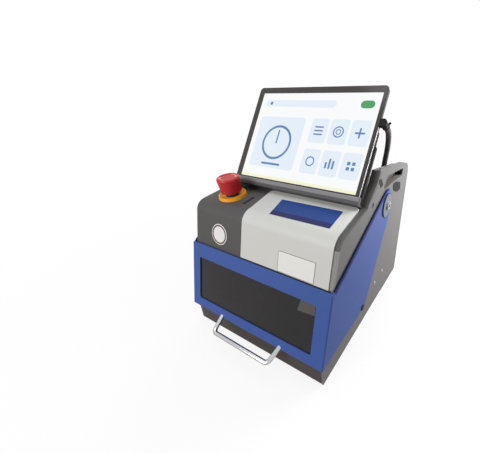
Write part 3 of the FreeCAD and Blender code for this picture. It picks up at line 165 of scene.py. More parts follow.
class Shading:
    """The nodes of a material or of the world, and the shader that they feed."""

    def __init__(self, owner: Union[bpy.types.Material, bpy.types.World], shader: str) -> None:
        """Switch on the owner's nodes and find its shader.

        Args:
            owner: The material or world.
            shader: Name of its shader node.
        """
        owner.use_nodes = True
        self.owner = owner
        self.tree = owner.node_tree
        self.shader = self.tree.nodes[shader]

    def node(
        self,
        kind: str,
        settings: Optional[dict[str, Any]] = None,
        inputs: Optional[dict[Any, Any]] = None,
        output: Union[int, str] = 0,
    ) -> Socket:
        """Add any node.

        Args:
            kind: The node's type.
            settings: Attributes to set first; "stops" holds a colour ramp's (place, colour) pairs.
            inputs: Values or links by socket name or number.
            output: The output to return.

        Returns:
            The chosen output.
        """
        made = self.tree.nodes.new(kind)
        for key, value in (settings or {}).items():
            if key == "stops":
                self._stops(made.color_ramp, value)
            else:
                setattr(made, key, value)
        for key, value in (inputs or {}).items():
            if isinstance(value, Socket):
                self.tree.links.new(value.output, made.inputs[key])
            else:
                made.inputs[key].default_value = value
        return Socket(self, made.outputs[output])

    @staticmethod
    def _stops(ramp: bpy.types.ColorRamp, stops: Sequence[tuple[float, Colour]]) -> None:
        """Set a colour ramp's stops.

        Args:
            ramp: The ramp.
            stops: Places from 0 to 1 with their colours.
        """
        while len(ramp.elements) < len(stops):
            ramp.elements.new(0.5)
        for element, (place, colour) in zip(ramp.elements, stops):
            element.position = place
            element.color = (*colour, 1.0)

    def constants(self, **values: Any) -> None:
        """Set sockets of the shader to numbers or colours; underscores stand for spaces."""
        for key, value in values.items():
            self.shader.inputs[key.replace("_", " ")].default_value = value

    def feed(self, socket: str, value: Socket) -> None:
        """Link a value to one of the shader's sockets."""
        self.tree.links.new(value.output, self.shader.inputs[socket])

    def rays(self, kind: str) -> Socket:
        """1 for one kind of ray, such as Camera or Glossy, and 0 for every other."""
        return self.node("ShaderNodeLightPath", output=f"Is {kind} Ray")


class Surface(Shading):
    """A material under construction: a Principled shader and the nodes that feed it."""

    octave_share: float = 0.55

    def __init__(self, name: str) -> None:
        """Start a material of that name."""
        super().__init__(bpy.data.materials.new(name), "Principled BSDF")

    def place(self, stretch: Sequence[float] = (1.0, 1.0, 1.0)) -> Socket:
        """Object coordinates, scaled along X, Y and Z."""
        here = self.node("ShaderNodeTexCoord", output="Object")
        return self.node("ShaderNodeMapping", inputs={"Vector": here, "Scale": tuple(stretch)})

    def noise(self, scale: float, detail: float = 2.0, stretch: Sequence[float] = (1.0, 1.0, 1.0)) -> Socket:
        """Soft noise from 0 to 1 in Object coordinates.

        Args:
            scale: Cells in each metre.
            detail: Octaves of finer noise.
            stretch: Scale along each axis.

        Returns:
            The noise.
        """
        return self.node("ShaderNodeTexNoise", inputs={
            "Vector": self.place(stretch), "Scale": scale, "Detail": detail, "Roughness": self.octave_share})

    def blend(self, share: Value, first: Colour, second: Colour) -> Socket:
        """Mix two colours.

        Args:
            share: How much of the second colour shows.
            first: The colour at 0.
            second: The colour at 1.

        Returns:
            The mixed colour.
        """
        return self.node("ShaderNodeMix", {"data_type": "RGBA"}, {
            0: share, 6: (*first, 1.0), 7: (*second, 1.0)}, output=2)

    def tint(self, socket: str, tone: Socket, colour: Colour, darkest: float, lightest: float) -> None:
        """Feed a socket with shades of one colour.

        Args:
            socket: The shader's socket.
            tone: What picks the shade, from 0 to 1.
            colour: The colour.
            darkest: Factor of the colour where the tone is 0.
            lightest: Factor of the colour where the tone is 1.
        """
        self.feed(socket, self.blend(tone, shade(colour, darkest), shade(colour, lightest)))

    def roughen(self, tone: Socket, middle: float, spread: float) -> None:
        """Feed the roughness with its middle value, spread out evenly by a tone from 0 to 1."""
        self.feed("Roughness", tone * spread + (middle - spread / 2))

    def bump(self, height: Socket, depth: float) -> None:
        """Roughen the shader's normal by a height of up to a depth in metres."""
        self.feed("Normal", self.node("ShaderNodeBump", inputs={
            "Strength": 1.0, "Distance": depth, "Height": height}))


def shade(colour: Colour, factor: float) -> Colour:
    """A colour made lighter or darker, held below full white."""
    return tuple(min(part * factor, BRIGHTEST) for part in colour)


class Coating:
    """What every finish can do: paint a new material. Noise is in cells to a metre, and depth in metres."""

    def make(self, name: str) -> bpy.types.Material:
        """Build the material.

        Args:
            name: Its name.

        Returns:
            The material.
        """
        surface = Surface(name)
        self.paint(surface)
        return surface.owner

    def paint(self, surface: Surface) -> None:
        """Set and feed the shader's sockets, in each finish's own way."""
        raise NotImplementedError


@dataclass(frozen=True)
class CoatFinish(Coating):
    """Paint, powder coat or moulded plastic: a colour with soft mottling and a fine grain."""

    colour: Colour
    roughness: float = 0.45
    grain: float = 900.0
    depth: float = 0.00004
    mottle: float = 0.06
    coat: float = 0.0
    reflect: float = 0.5
    cloud: float = 9.0
    cloud_detail: float = 3.0
    cloud_share: float = 0.7
    spread: float = 0.08
    coat_roughness: float = 0.12

    def paint(self, surface: Surface) -> None:
        """Shade the colour by wide and fine noise together, and raise the fine noise as a grain.

        Args:
            surface: The material under construction.
        """
        cloud = surface.noise(self.cloud, self.cloud_detail)
        grain = surface.noise(self.grain)
        tone = cloud * self.cloud_share + grain * (1 - self.cloud_share)
        surface.tint("Base Color", tone, self.colour, 1 - self.mottle, 1 + self.mottle)
        surface.roughen(cloud, self.roughness, self.spread)
        surface.bump(grain, self.depth)
        surface.constants(
            Coat_Weight=self.coat, Coat_Roughness=self.coat_roughness, Specular_IOR_Level=self.reflect)


@dataclass(frozen=True)
class MetalFinish(Coating):
    """Bare or plated metal, with fine marks drawn out along one axis."""

    colour: Colour
    roughness: float = 0.3
    marks: float = 220.0
    detail: float = 4.0
    stretch: Triple = (1.0, 1.0, 1.0)
    depth: float = 0.00001
    spread: float = 0.1
    darkest: float = 0.9
    lightest: float = 1.08

    def paint(self, surface: Surface) -> None:
        """Shade, roughen and raise the metal by one stretched noise.

        Args:
            surface: The material under construction.
        """
        lines = surface.noise(self.marks, self.detail, self.stretch)
        surface.tint("Base Color", lines, self.colour, self.darkest, self.lightest)
        surface.roughen(lines, self.roughness, self.spread)
        surface.bump(lines, self.depth)
        surface.constants(Metallic=1.0)


@dataclass(frozen=True)
class PaneFinish(Coating):
    """Tinted clear sheet: a dark, glossy face that lets some light through."""

    colour: Colour
    cover: float = 0.8
    roughness: float = 0.08
    smear: float = 14.0
    detail: float = 4.0
    spread: float = 0.06
    darkest: float = 0.9
    lightest: float = 1.15
    reflect: float = 0.4

    def paint(self, surface: Surface) -> None:
        """Shade and roughen the sheet by a wide smear.

        Args:
            surface: The material under construction.
        """
        smear = surface.noise(self.smear, self.detail)
        surface.tint("Base Color", smear, self.colour, self.darkest, self.lightest)
        surface.roughen(smear, self.roughness, self.spread)
        surface.constants(Alpha=self.cover, Specular_IOR_Level=self.reflect)


@dataclass(frozen=True)
class LitFinish(Coating):
    """Lit part of a display: its own light, a little uneven as a back light is."""

    colour: Colour
    strength: float = 1.0
    glow: float = 6.0
    detail: float = 1.0
    uneven: float = 0.03
    unlit: tuple[Colour, Colour] = ((0.01, 0.01, 0.01), (0.015, 0.015, 0.015))
    roughness: float = 0.25
    reflect: float = 0.2

    def paint(self, surface: Surface) -> None:
        """Light the display in its colour, over a face that is almost black.

        Args:
            surface: The material under construction.
        """
        glow = surface.noise(self.glow, self.detail)
        surface.tint("Emission Color", glow, self.colour, 1 - self.uneven, 1 + self.uneven)
        surface.feed("Base Color", surface.blend(glow, *self.unlit))
        surface.constants(
            Emission_Strength=self.strength, Roughness=self.roughness, Specular_IOR_Level=self.reflect)


@dataclass(frozen=True)
class BoardFinish(Coating):
    """Circuit board: solder resist with copper traces showing through as lighter lines."""

    colour: Colour
    trace: Colour
    pitch: float = 190.0
    distortion: float = 6.0
    detail: float = 1.0
    trace_edge: Pair = (0.55, 0.75)
    roughness: float = 0.35
    spread: float = 0.1

    def paint(self, surface: Surface) -> None:
        """Draw the traces as distorted slanting bands.

        Args:
            surface: The material under construction.
        """
        values = {"Scale": self.pitch, "Distortion": self.distortion, "Detail": self.detail}
        lines = surface.node("ShaderNodeTexWave", {"bands_direction": "DIAGONAL"}, {
            "Vector": surface.place(), **values}, output="Fac")
        stops = list(zip(self.trace_edge, (self.colour, self.trace)))
        surface.feed("Base Color", surface.node("ShaderNodeValToRGB", {"stops": stops}, {"Fac": lines}))
        surface.roughen(lines, self.roughness, self.spread)


class Finish(Enum):
    """Every finish on the machine."""

    HOOD_BLUE = CoatFinish(
        srgb(58, 86, 154), roughness=0.5, grain=420.0, depth=0.00003, mottle=0.05, reflect=0.28)
    # Dark navy of the painted shade along the hood's arms and round its pivot caps
    HOOD_NAVY = CoatFinish(srgb(34, 46, 92), roughness=0.5, grain=420.0, depth=0.00003, reflect=0.1)
    HOUSING_GREY = CoatFinish(srgb(76, 75, 75), roughness=0.55, grain=1500.0, depth=0.00006, reflect=0.35)
    BASE_GREY = CoatFinish(srgb(68, 60, 58), roughness=0.55, grain=1500.0, depth=0.00006, reflect=0.35)
    SIDE_GREY = CoatFinish(srgb(119, 118, 119), roughness=0.55, grain=1500.0, depth=0.00005, reflect=0.12)
    CAP_GREY = CoatFinish(srgb(114, 122, 132), roughness=0.45, grain=1500.0, depth=0.00005, reflect=0.2)
    COVER_LIGHT = CoatFinish(
        srgb(202, 203, 199), roughness=0.45, grain=1100.0, depth=0.00003, mottle=0.03, reflect=0.3)
    LINER_DARK = CoatFinish(srgb(100, 97, 94), roughness=0.6, grain=1200.0, depth=0.00006, reflect=0.15)
    LEDGE_GREY = CoatFinish(srgb(76, 75, 77), roughness=0.5, grain=1200.0, reflect=0.3)
    # Painted light on the tablet ledge's upper edge: a lit copy of the ledge's grey
    LEDGE_LIP = CoatFinish(srgb(124, 122, 124), roughness=0.4, grain=1200.0, reflect=0.4)
    BLACK_PLASTIC = CoatFinish(srgb(36, 36, 36), roughness=0.55, grain=1400.0, depth=0.00005, reflect=0.1)
    RUBBER = CoatFinish(srgb(34, 34, 36), roughness=0.7, grain=700.0, depth=0.00008)
    CABLE_BLACK = CoatFinish(srgb(96, 94, 93), roughness=0.55, grain=500.0, depth=0.00004, reflect=0.2)
    STOP_RED = CoatFinish(
        srgb(188, 34, 38), roughness=0.32, grain=500.0, depth=0.00001, coat=0.1, reflect=0.35)
    STOP_MARK = CoatFinish(srgb(236, 190, 184), roughness=0.35, grain=500.0, depth=0.00001)
    STOP_YELLOW = CoatFinish(srgb(244, 170, 40), roughness=0.4, grain=500.0, depth=0.00002, reflect=0.3)
    STOP_GREY = CoatFinish(srgb(60, 60, 62), roughness=0.5, grain=900.0)
    SMOKE_LENS = CoatFinish(srgb(44, 44, 52), roughness=0.5, grain=300.0, depth=0.00001, reflect=0.1)
    # Painted light on the floors and sills of the grips
    GRIP_GREY = CoatFinish(srgb(112, 108, 102), roughness=0.6, grain=1200.0, depth=0.00006, reflect=0.1)
    PLATE_BLUE = CoatFinish(
        srgb(24, 62, 132), roughness=0.4, grain=300.0, depth=0.00001, mottle=0.04, reflect=0.2)
    PLATE_NAVY = CoatFinish(
        srgb(26, 30, 88), roughness=0.4, grain=300.0, depth=0.00001, mottle=0.04, reflect=0.2)
    PLATE_PALE = CoatFinish(
        srgb(226, 226, 222), roughness=0.4, grain=300.0, depth=0.00001, mottle=0.02, reflect=0.3)
    BADGE_RING = CoatFinish(srgb(108, 76, 80), roughness=0.5, grain=600.0, depth=0.00002, reflect=0.1)
    BADGE_GREY = CoatFinish(srgb(122, 116, 116), roughness=0.4, grain=600.0, depth=0.00002, reflect=0.2)
    MOTOR_BLACK = CoatFinish(srgb(46, 46, 48), roughness=0.4, grain=900.0)
    CAST_GREY = CoatFinish(srgb(84, 86, 90), roughness=0.5, grain=350.0, depth=0.0002)
    # Painted reflection on the hood's pane
    PATCH_GREY = CoatFinish(srgb(84, 83, 82), roughness=0.5, grain=300.0, depth=0.00001, reflect=0.2)
    # Painted highlight on the right side plate's front edge: a lit copy of the side grey
    STRIP_LIGHT = CoatFinish(srgb(138, 140, 139), roughness=0.5, grain=1500.0, depth=0.00005, reflect=0.2)
    TABLET_SHELL = CoatFinish(srgb(66, 65, 65), roughness=0.55, grain=900.0, depth=0.00002, reflect=0.15)
    WINDOW_TINT = PaneFinish(srgb(38, 38, 40), cover=0.9)
    TABLET_GLASS = PaneFinish(srgb(62, 59, 58), cover=1.0, roughness=0.12)
    CHROME = MetalFinish(srgb(226, 227, 229), roughness=0.12, depth=0.000002, spread=0.05)
    TRIM_SILVER = MetalFinish(srgb(196, 196, 198), roughness=0.4, marks=900.0)
    BOLT_STEEL = MetalFinish(srgb(205, 205, 208), roughness=0.28)
    GROUND_STEEL = MetalFinish(srgb(176, 176, 180), roughness=0.3, stretch=(1.0, 1.0, 12.0))
    ALLOY = MetalFinish(srgb(196, 198, 202), roughness=0.36, stretch=(1.0, 14.0, 1.0))
    BOARD_GREEN = BoardFinish(srgb(20, 92, 52), srgb(60, 130, 84))
    SCREEN_WHITE = LitFinish(srgb(246, 248, 250))
    SCREEN_PALE = LitFinish(srgb(226, 236, 247))
    SCREEN_LINE = LitFinish(srgb(96, 132, 180))
    SCREEN_GREEN = LitFinish(srgb(74, 158, 92))
    SCREEN_CREAM = LitFinish(srgb(244, 242, 206))


_made: dict[Finish, bpy.types.Material] = {}


def material_of(finish: Finish) -> bpy.types.Material:
    """The material of a finish, made the first time it is asked for.

    Args:
        finish: The finish.

    Returns:
        Its material.
    """
    if finish not in _made:
        _made[finish] = finish.value.make(finish.name.lower())
    return _made[finish]


def dress(finish: Finish, *nodes: str) -> None:
    """Give solids of the frame a finish.

    Args:
        finish: The finish.
        nodes: Names of the solids' nodes.
    """
    for node in nodes:
        piece = frame["nodes"][node]
        for slot in piece.material_slots:
            slot.material = material_of(finish)
        log.info("dressed %s in %s", node, finish.name.lower())


@dataclass(frozen=True)
class Panel:
    """A flat face with its own axes: across, up and out of the face."""

    origin: np.ndarray
    across: np.ndarray
    up: np.ndarray

    @property
    def out(self) -> np.ndarray:
        """Direction out of the face."""
        return np.cross(self.across, self.up)

    def lift(self, flat: np.ndarray, height: Union[float, np.ndarray]) -> np.ndarray:
        """Place points of the face in space.

        Args:
            flat: Points across and up the face in millimetres, shaped (..., 2).
            height: Their height out of the face in millimetres.

        Returns:
            Points in metres, shaped (..., 3).
        """
        tall = np.broadcast_to(np.asarray(height, dtype=float), flat.shape[:-1])
        local = flat[..., :1] * self.across + flat[..., 1:] * self.up + tall[..., None] * self.out
        return self.origin + local * MM


def leaning_panel(origin: np.ndarray, back_lean: float) -> Panel:
    """A face across the machine that leans back from upright.

    Args:
        origin: Its zero, in metres.
        back_lean: Angle from upright, in degrees.

    Returns:
        The face.
    """
    lean = math.radians(back_lean)
    return Panel(origin, np.array([1.0, 0.0, 0.0]), np.array([0.0, math.sin(lean), math.cos(lean)]))


# The machine's main faces in the working frame, in millimetres and degrees
HOOD_FOOT_Z = 38.0
HOOD_TOP_Y, HOOD_TOP_Z = 28.6, 152.0
HOOD_LEAN = math.degrees(math.atan2(HOOD_TOP_Y, HOOD_TOP_Z - HOOD_FOOT_Z))
HOUSING_BEHIND_HOOD = 4.5
HOUSING_TOP_Y, HOUSING_TOP_Z = 66.0, 221.5
HOUSING_RISE = 7.4
TABLET_FOOT_Y, TABLET_FOOT_Z = 132.0, 249.03
TABLET_LEAN = 32.9
TABLET_HALF = 120.0
SCREEN_SHIFT = 3.2

HOOD_FRONT = leaning_panel(at(0, 0, HOOD_FOOT_Z), HOOD_LEAN)
HOUSING_FRONT_Y = HOUSING_BEHIND_HOOD / math.cos(math.radians(HOOD_LEAN))
HOUSING_FRONT = leaning_panel(at(0, HOUSING_FRONT_Y, HOOD_FOOT_Z), HOOD_LEAN)
HOUSING_TOP = leaning_panel(at(0, HOUSING_TOP_Y, HOUSING_TOP_Z), 90 - HOUSING_RISE)
TABLET_FACE = leaning_panel(at(0, TABLET_FOOT_Y, TABLET_FOOT_Z), TABLET_LEAN)
SCREEN_FACE = leaning_panel(at(SCREEN_SHIFT, TABLET_FOOT_Y, TABLET_FOOT_Z), TABLET_LEAN)
TABLET_SIDE = Panel(TABLET_FACE.lift(np.array([TABLET_HALF, 0.0]), 0.0), -TABLET_FACE.out, TABLET_FACE.up)
RIGHT_SIDE = Panel(at(0, 0, 0), np.array([0.0, 1.0, 0.0]), np.array([0.0, 0.0, 1.0]))
LEFT_SIDE = Panel(at(0, 0, 0), np.array([0.0, -1.0, 0.0]), np.array([0.0, 0.0, 1.0]))


def rounded_outline(half_a: float, half_b: float, radius: float, steps: int = 8) -> np.ndarray:
    """Rounded rectangle about zero: quarter circles on the corners, joined by straight sides.

    Args:
        half_a: Half its width.
        half_b: Half its height.
        radius: Corner radius.
        steps: Points on each corner.

    Returns:
        Points in order, shaped (4 * steps, 2).
    """
    turn = np.linspace(0, math.pi / 2, steps)
    angle = (np.arange(4)[:, None] * math.pi / 2 + turn).ravel()
    sign = np.repeat(np.array([[1, 1], [-1, 1], [-1, -1], [1, -1]]), steps, axis=0)
    centre = sign * np.array([half_a - radius, half_b - radius])
    return centre + radius * np.stack([np.cos(angle), np.sin(angle)], axis=1)


def circle_outline(radius: float, steps: int = 48) -> np.ndarray:
    """Circle about zero: radius times cosine and sine of even angles."""
    angle = np.linspace(0, 2 * math.pi, steps, endpoint=False)
    return radius * np.stack([np.cos(angle), np.sin(angle)], axis=1)


def rounded_path(corners: Sequence[Triple], closed: bool = False, steps: int = 6) -> np.ndarray:
    """Line through corners, each turned by an arc that touches both of its sides.

    Args:
        corners: Corners as (a, b, radius).
        closed: Whether the last corner joins the first.
        steps: Points on each arc.

    Returns:
        Points in order, shaped (count, 2).
    """
    place = np.array([corner[:2] for corner in corners], dtype=float)
    line = [] if closed else [place[:1]]
    for index in range(len(corners)) if closed else range(1, len(corners) - 1):
        here, radius = place[index], corners[index][2]
        ahead, behind = place[(index + 1) % len(corners)] - here, here - place[index - 1]
        ahead, behind = ahead / np.linalg.norm(ahead), behind / np.linalg.norm(behind)
        bend = math.atan2(behind[0] * ahead[1] - behind[1] * ahead[0], float(behind @ ahead))
        start = here - behind * radius * abs(math.tan(bend / 2))
        inward = math.copysign(radius, bend) * np.array([-behind[1], behind[0]])
        turn = np.linspace(0, abs(bend), steps)[:, None]
        line.append(start + inward * (1 - np.cos(turn)) + behind * radius * np.sin(turn))
    if not closed:
        line.append(place[-1:])
    return np.concatenate(line)


def quad_outline(corners: Sequence[Pair], high: float = 1.0, soft: float = 0.04) -> np.ndarray:
    """Four-sided outline with softened corners, or its lower part: a square, stretched to four corners.

    Args:
        corners: Lower left, lower right, upper right and upper left corner.
        high: Upper end of the part, from -1 at the lower side to 1 at the upper one.
        soft: Corner radius on a square of half side 1.

    Returns:
        Points in order, shaped (count, 2).
    """
    flat = rounded_outline(1.0, 1.0, soft, steps=4)
    right, up = (flat[:, :1] + 1) / 2, (flat[:, 1:] + 1) * (high + 1) / 4
    low_left, low_right, high_right, high_left = (np.array(corner) for corner in corners)
    low_side = low_left * (1 - right) + low_right * right
    high_side = high_left * (1 - right) + high_right * right
    return low_side * (1 - up) + high_side * up


def grid_faces(rows: int, columns: int, wrap_rows: bool, start: int) -> list[tuple[int, ...]]:
    """Quads of a grid whose columns close on themselves.

    Args:
        rows: Rows of the grid.
        columns: Points in a row.
        wrap_rows: Whether the last row joins the first; otherwise both ends get a cap.
        start: Number of the grid's first point.

    Returns:
        Faces as point numbers.
    """
    row = np.arange(rows if wrap_rows else rows - 1)[:, None]
    column = np.arange(columns)[None, :]
    after_row, after_column = (row + 1) % rows, (column + 1) % columns
    corners = [row * columns + column, row * columns + after_column,
               after_row * columns + after_column, after_row * columns + column]
    quads = np.stack([np.broadcast_to(c, (row.size, columns)) for c in corners], axis=-1)
    faces = [tuple(quad) for quad in (quads.reshape(-1, 4) + start).tolist()]
    if not wrap_rows:
        faces.append(tuple(range(start, start + columns)))
        faces.append(tuple(range(start + (rows - 1) * columns, start + rows * columns)))
    return faces


def build_piece(
    name: str,
    grids: Sequence[np.ndarray],
    finish: Finish,
    body: str = "frame",
    wrap_rows: bool = False,
) -> None:
    """Make one piece from grids of points.

    Args:
        name: Its name.
        grids: Point grids in metres, each shaped (rows, columns, 3) with closed columns.
        finish: Its finish.
        body: The body it rides on.
        wrap_rows: Whether each grid's rows close too.
    """
    points, faces, start = [], [], 0
    for grid in grids:
        rows, columns = grid.shape[:2]
        faces += grid_faces(rows, columns, wrap_rows, start)
        points.append(grid.reshape(-1, 3))
        start += rows * columns
    mesh = bpy.data.meshes.new(name)
    mesh.from_pydata(np.concatenate(points).tolist(), [], faces)
    work = bmesh.new()
    work.from_mesh(mesh)
    bmesh.ops.recalc_face_normals(work, faces=work.faces)
    work.to_mesh(mesh)
    work.free()
    mesh.materials.append(material_of(finish))
    piece = bpy.data.objects.new(name, mesh)
    bpy.context.scene.collection.objects.link(piece)
    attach(piece, body)
    log.info("built %s, %d faces", name, len(faces))


def plate_grid(panel: Panel, centre: Pair, outline: np.ndarray, low: float, high: float) -> np.ndarray:
    """Flat plate on a face: its outline at the low height, at the high one, and drawn in by a small bevel.

    Args:
        panel: The face.
        centre: Middle of the plate on the face.
        outline: Points of its edge about zero.
        low: Height of its underside.
        high: Height of its top.

    Returns:
        A grid of three rows.
    """
    bevel = (high - low) * BEVEL_SHARE
    inset = outline * (1 - bevel / np.abs(outline).max())
    flat = np.stack([outline, outline, inset]) + np.array(centre)
    return panel.lift(flat, np.array([low, high - bevel, high])[:, None])


def ring_grid(
    panel: Panel,
    centre: Pair,
    outside: np.ndarray,
    inside: np.ndarray,
    low: float,
    high: float,
) -> np.ndarray:
    """Flat ring on a face: the outer edge up, the inner edge down, as a grid that closes both ways.

    Args:
        panel: The face.
        centre: Middle of the ring on the face.
        outside: Points of the outer edge about zero.
        inside: Points of the inner edge about zero, in step with the outer ones.
        low: Height of its underside.
        high: Height of its top.

    Returns:
        A grid of four rows.
    """
    flat = np.stack([outside, outside, inside, inside]) + np.array(centre)
    return panel.lift(flat, np.array([low, high, high, low])[:, None])


def arc_grid(
    panel: Panel,
    centre: Pair,
    radius: float,
    width: float,
    turn: Pair,
    low: float,
    high: float,
    steps: int = 16,
) -> np.ndarray:
    """Curved bar on a face: a rectangle carried along an arc.

    Args:
        panel: The face.
        centre: Centre of the arc on the face.
        radius: Radius at the bar's middle.
        width: Its width.
        turn: First and last angle, in degrees.
        low: Height of its underside.
        high: Height of its top.
        steps: Places along the arc.

    Returns:
        A grid of one row for each place, four points in each.
    """
    angle = np.radians(np.linspace(*turn, steps))[:, None]
    reach = radius + width * np.array([-0.5, 0.5, 0.5, -0.5])
    flat = np.stack([np.cos(angle) * reach, np.sin(angle) * reach], axis=-1) + np.array(centre)
    return panel.lift(flat, np.array([low, low, high, high])[None, :])


def outline_grid(panel: Panel, outline: np.ndarray, low: float, high: float) -> np.ndarray:
    """Flat plate on a face, from an outline given where it lies on the face."""
    middle = outline.mean(axis=0)
    return plate_grid(panel, tuple(middle), outline - middle, low, high)


def left_of(path: np.ndarray) -> np.ndarray:
    """Unit direction to the left of a path at each point: the path's slope, turned by a quarter.

    Args:
        path: Points along the path, shaped (count, 2).

    Returns:
        Directions, shaped as the path is.
    """
    along = np.gradient(path, axis=0)
    along /= np.linalg.norm(along, axis=1, keepdims=True)
    return np.stack([-along[:, 1], along[:, 0]], axis=1)


def edge_grid(panel: Panel, path: np.ndarray, wide: np.ndarray, low: float, high: float) -> np.ndarray:
    """Thin skin over a sheet's edge, folded onto the sheet's face: an L-shaped profile along the edge.

    Args:
        panel: The face's axes, with heights from its zero.
        path: Points along the sheet's edge, with the sheet on their left.
        wide: Width of the skin on the face at each point.
        low: Height of the sheet's hidden face.
        high: Height of its outer face.

    Returns:
        A grid of one row for each point of the path, six points in each.
    """
    outer, inner = np.full_like(wide, -SKIN), np.full_like(wide, -SKIN_GAP)
    reach = np.stack([outer, outer, wide, wide, inner, inner], axis=1)
    flat = path[:, None, :] + left_of(path)[:, None, :] * reach[..., None]
    top, under = high + SKIN, high + SKIN_GAP
    return panel.lift(flat, np.array([low, top, top, under, under, low])[None, :])


def mirrored_path(path: np.ndarray) -> np.ndarray:
    """A path of the right side on the left side's axes, run backwards to keep the sheet on its left."""
    return (path * np.array([-1.0, 1.0]))[::-1]


@dataclass
class Hood:
    """Lifting hood: painted shell, tinted pane and plated handle, with painted shade along its arms and round
    its pivot caps, and a painted reflection on its pane.
    """

    sheet: float = 2.0
    side: float = 136.0
    arm_end: float = 27.5
    # Sizes of the painted shade along each arm's top: its width, its width at the tip, its first angle, its
    # reach past the top corner, and its points
    edge_wide: float = 6.0
    edge_tip: float = 0.5
    edge_start: float = 75.0
    edge_stop: float = 6.0
    edge_steps: int = 8
    cap_round: float = 20.0
    cap_ring: float = 0.9
    cap_ring_tall: float = 1.6
    # Corners of the painted reflection on the pane, and its thickness
    patch: tuple[Pair, ...] = ((85.1, 76.4), (113.4, 79.0), (112.6, 94.8), (89.4, 94.8))
    patch_thick: float = 0.2

    def build(self) -> None:
        """Build the pieces of painted shade and painted reflection, and dress the solids."""
        dress(Finish.HOOD_BLUE, "hood_shell")
        dress(Finish.WINDOW_TINT, "hood_window")
        dress(Finish.CHROME, "hood_handle")
        dress(Finish.RUBBER, "hood_bumpers")
        dress(Finish.CAP_GREY, "pivot_caps")
        dress(Finish.BOLT_STEEL, "pivot_bolts")
        self.arm_painted_shade()
        self.cap_shade_rings()
        self.pane_patch()

    def arm_painted_shade(self) -> None:
        """Painted shade along each arm's top, where the arm meets the side plate: a dark skin on an arc round
        the pivot, then straight to the top corner.
        """
        front, pivot = np.array([HOOD_TOP_Y, HOOD_TOP_Z]), np.array([PIVOT_Y, PIVOT_Z])
        run = pivot - front
        rise = math.atan2(run[1], run[0]) + math.asin(self.arm_end / float(np.linalg.norm(run)))
        turn = np.linspace(math.radians(self.edge_start), rise + math.pi / 2, self.edge_steps)
        arc = pivot + self.arm_end * np.stack([np.cos(turn), np.sin(turn)], axis=1)
        last = front + self.edge_stop * np.array([math.cos(rise), math.sin(rise)])
        path = np.concatenate([arc, [last]])
        wide = np.append(np.linspace(self.edge_tip, self.edge_wide, len(arc)), self.edge_wide)
        low = self.side - self.sheet
        grids = [edge_grid(RIGHT_SIDE, path, wide, low, self.side),
                 edge_grid(LEFT_SIDE, mirrored_path(path), wide[::-1], low, self.side)]
        build_piece("hood_arm_edges", grids, Finish.HOOD_NAVY, body="hood")

    def cap_shade_rings(self) -> None:
        """Dark ring round each pivot cap: partly the cap's dark rim, partly painted shadow where the cap
        stands off the arm.
        """
        outside = circle_outline(self.cap_round + self.cap_ring)
        inside = circle_outline(self.cap_round + SKIN_GAP)
        low, high = self.side, self.side + self.cap_ring_tall
        grids = [ring_grid(RIGHT_SIDE, (PIVOT_Y, PIVOT_Z), outside, inside, low, high),
                 ring_grid(LEFT_SIDE, (-PIVOT_Y, PIVOT_Z), outside, inside, low, high)]
        build_piece("pivot_cap_rings", grids, Finish.HOOD_NAVY, body="hood", wrap_rows=True)

    def pane_patch(self) -> None:
        """Painted reflection: a lighter grey patch on the pane's upper right corner."""
        grid = outline_grid(HOOD_FRONT, quad_outline(self.patch), -self.sheet, self.patch_thick - self.sheet)
        build_piece("pane_patch", [grid], Finish.PATCH_GREY, body="hood")


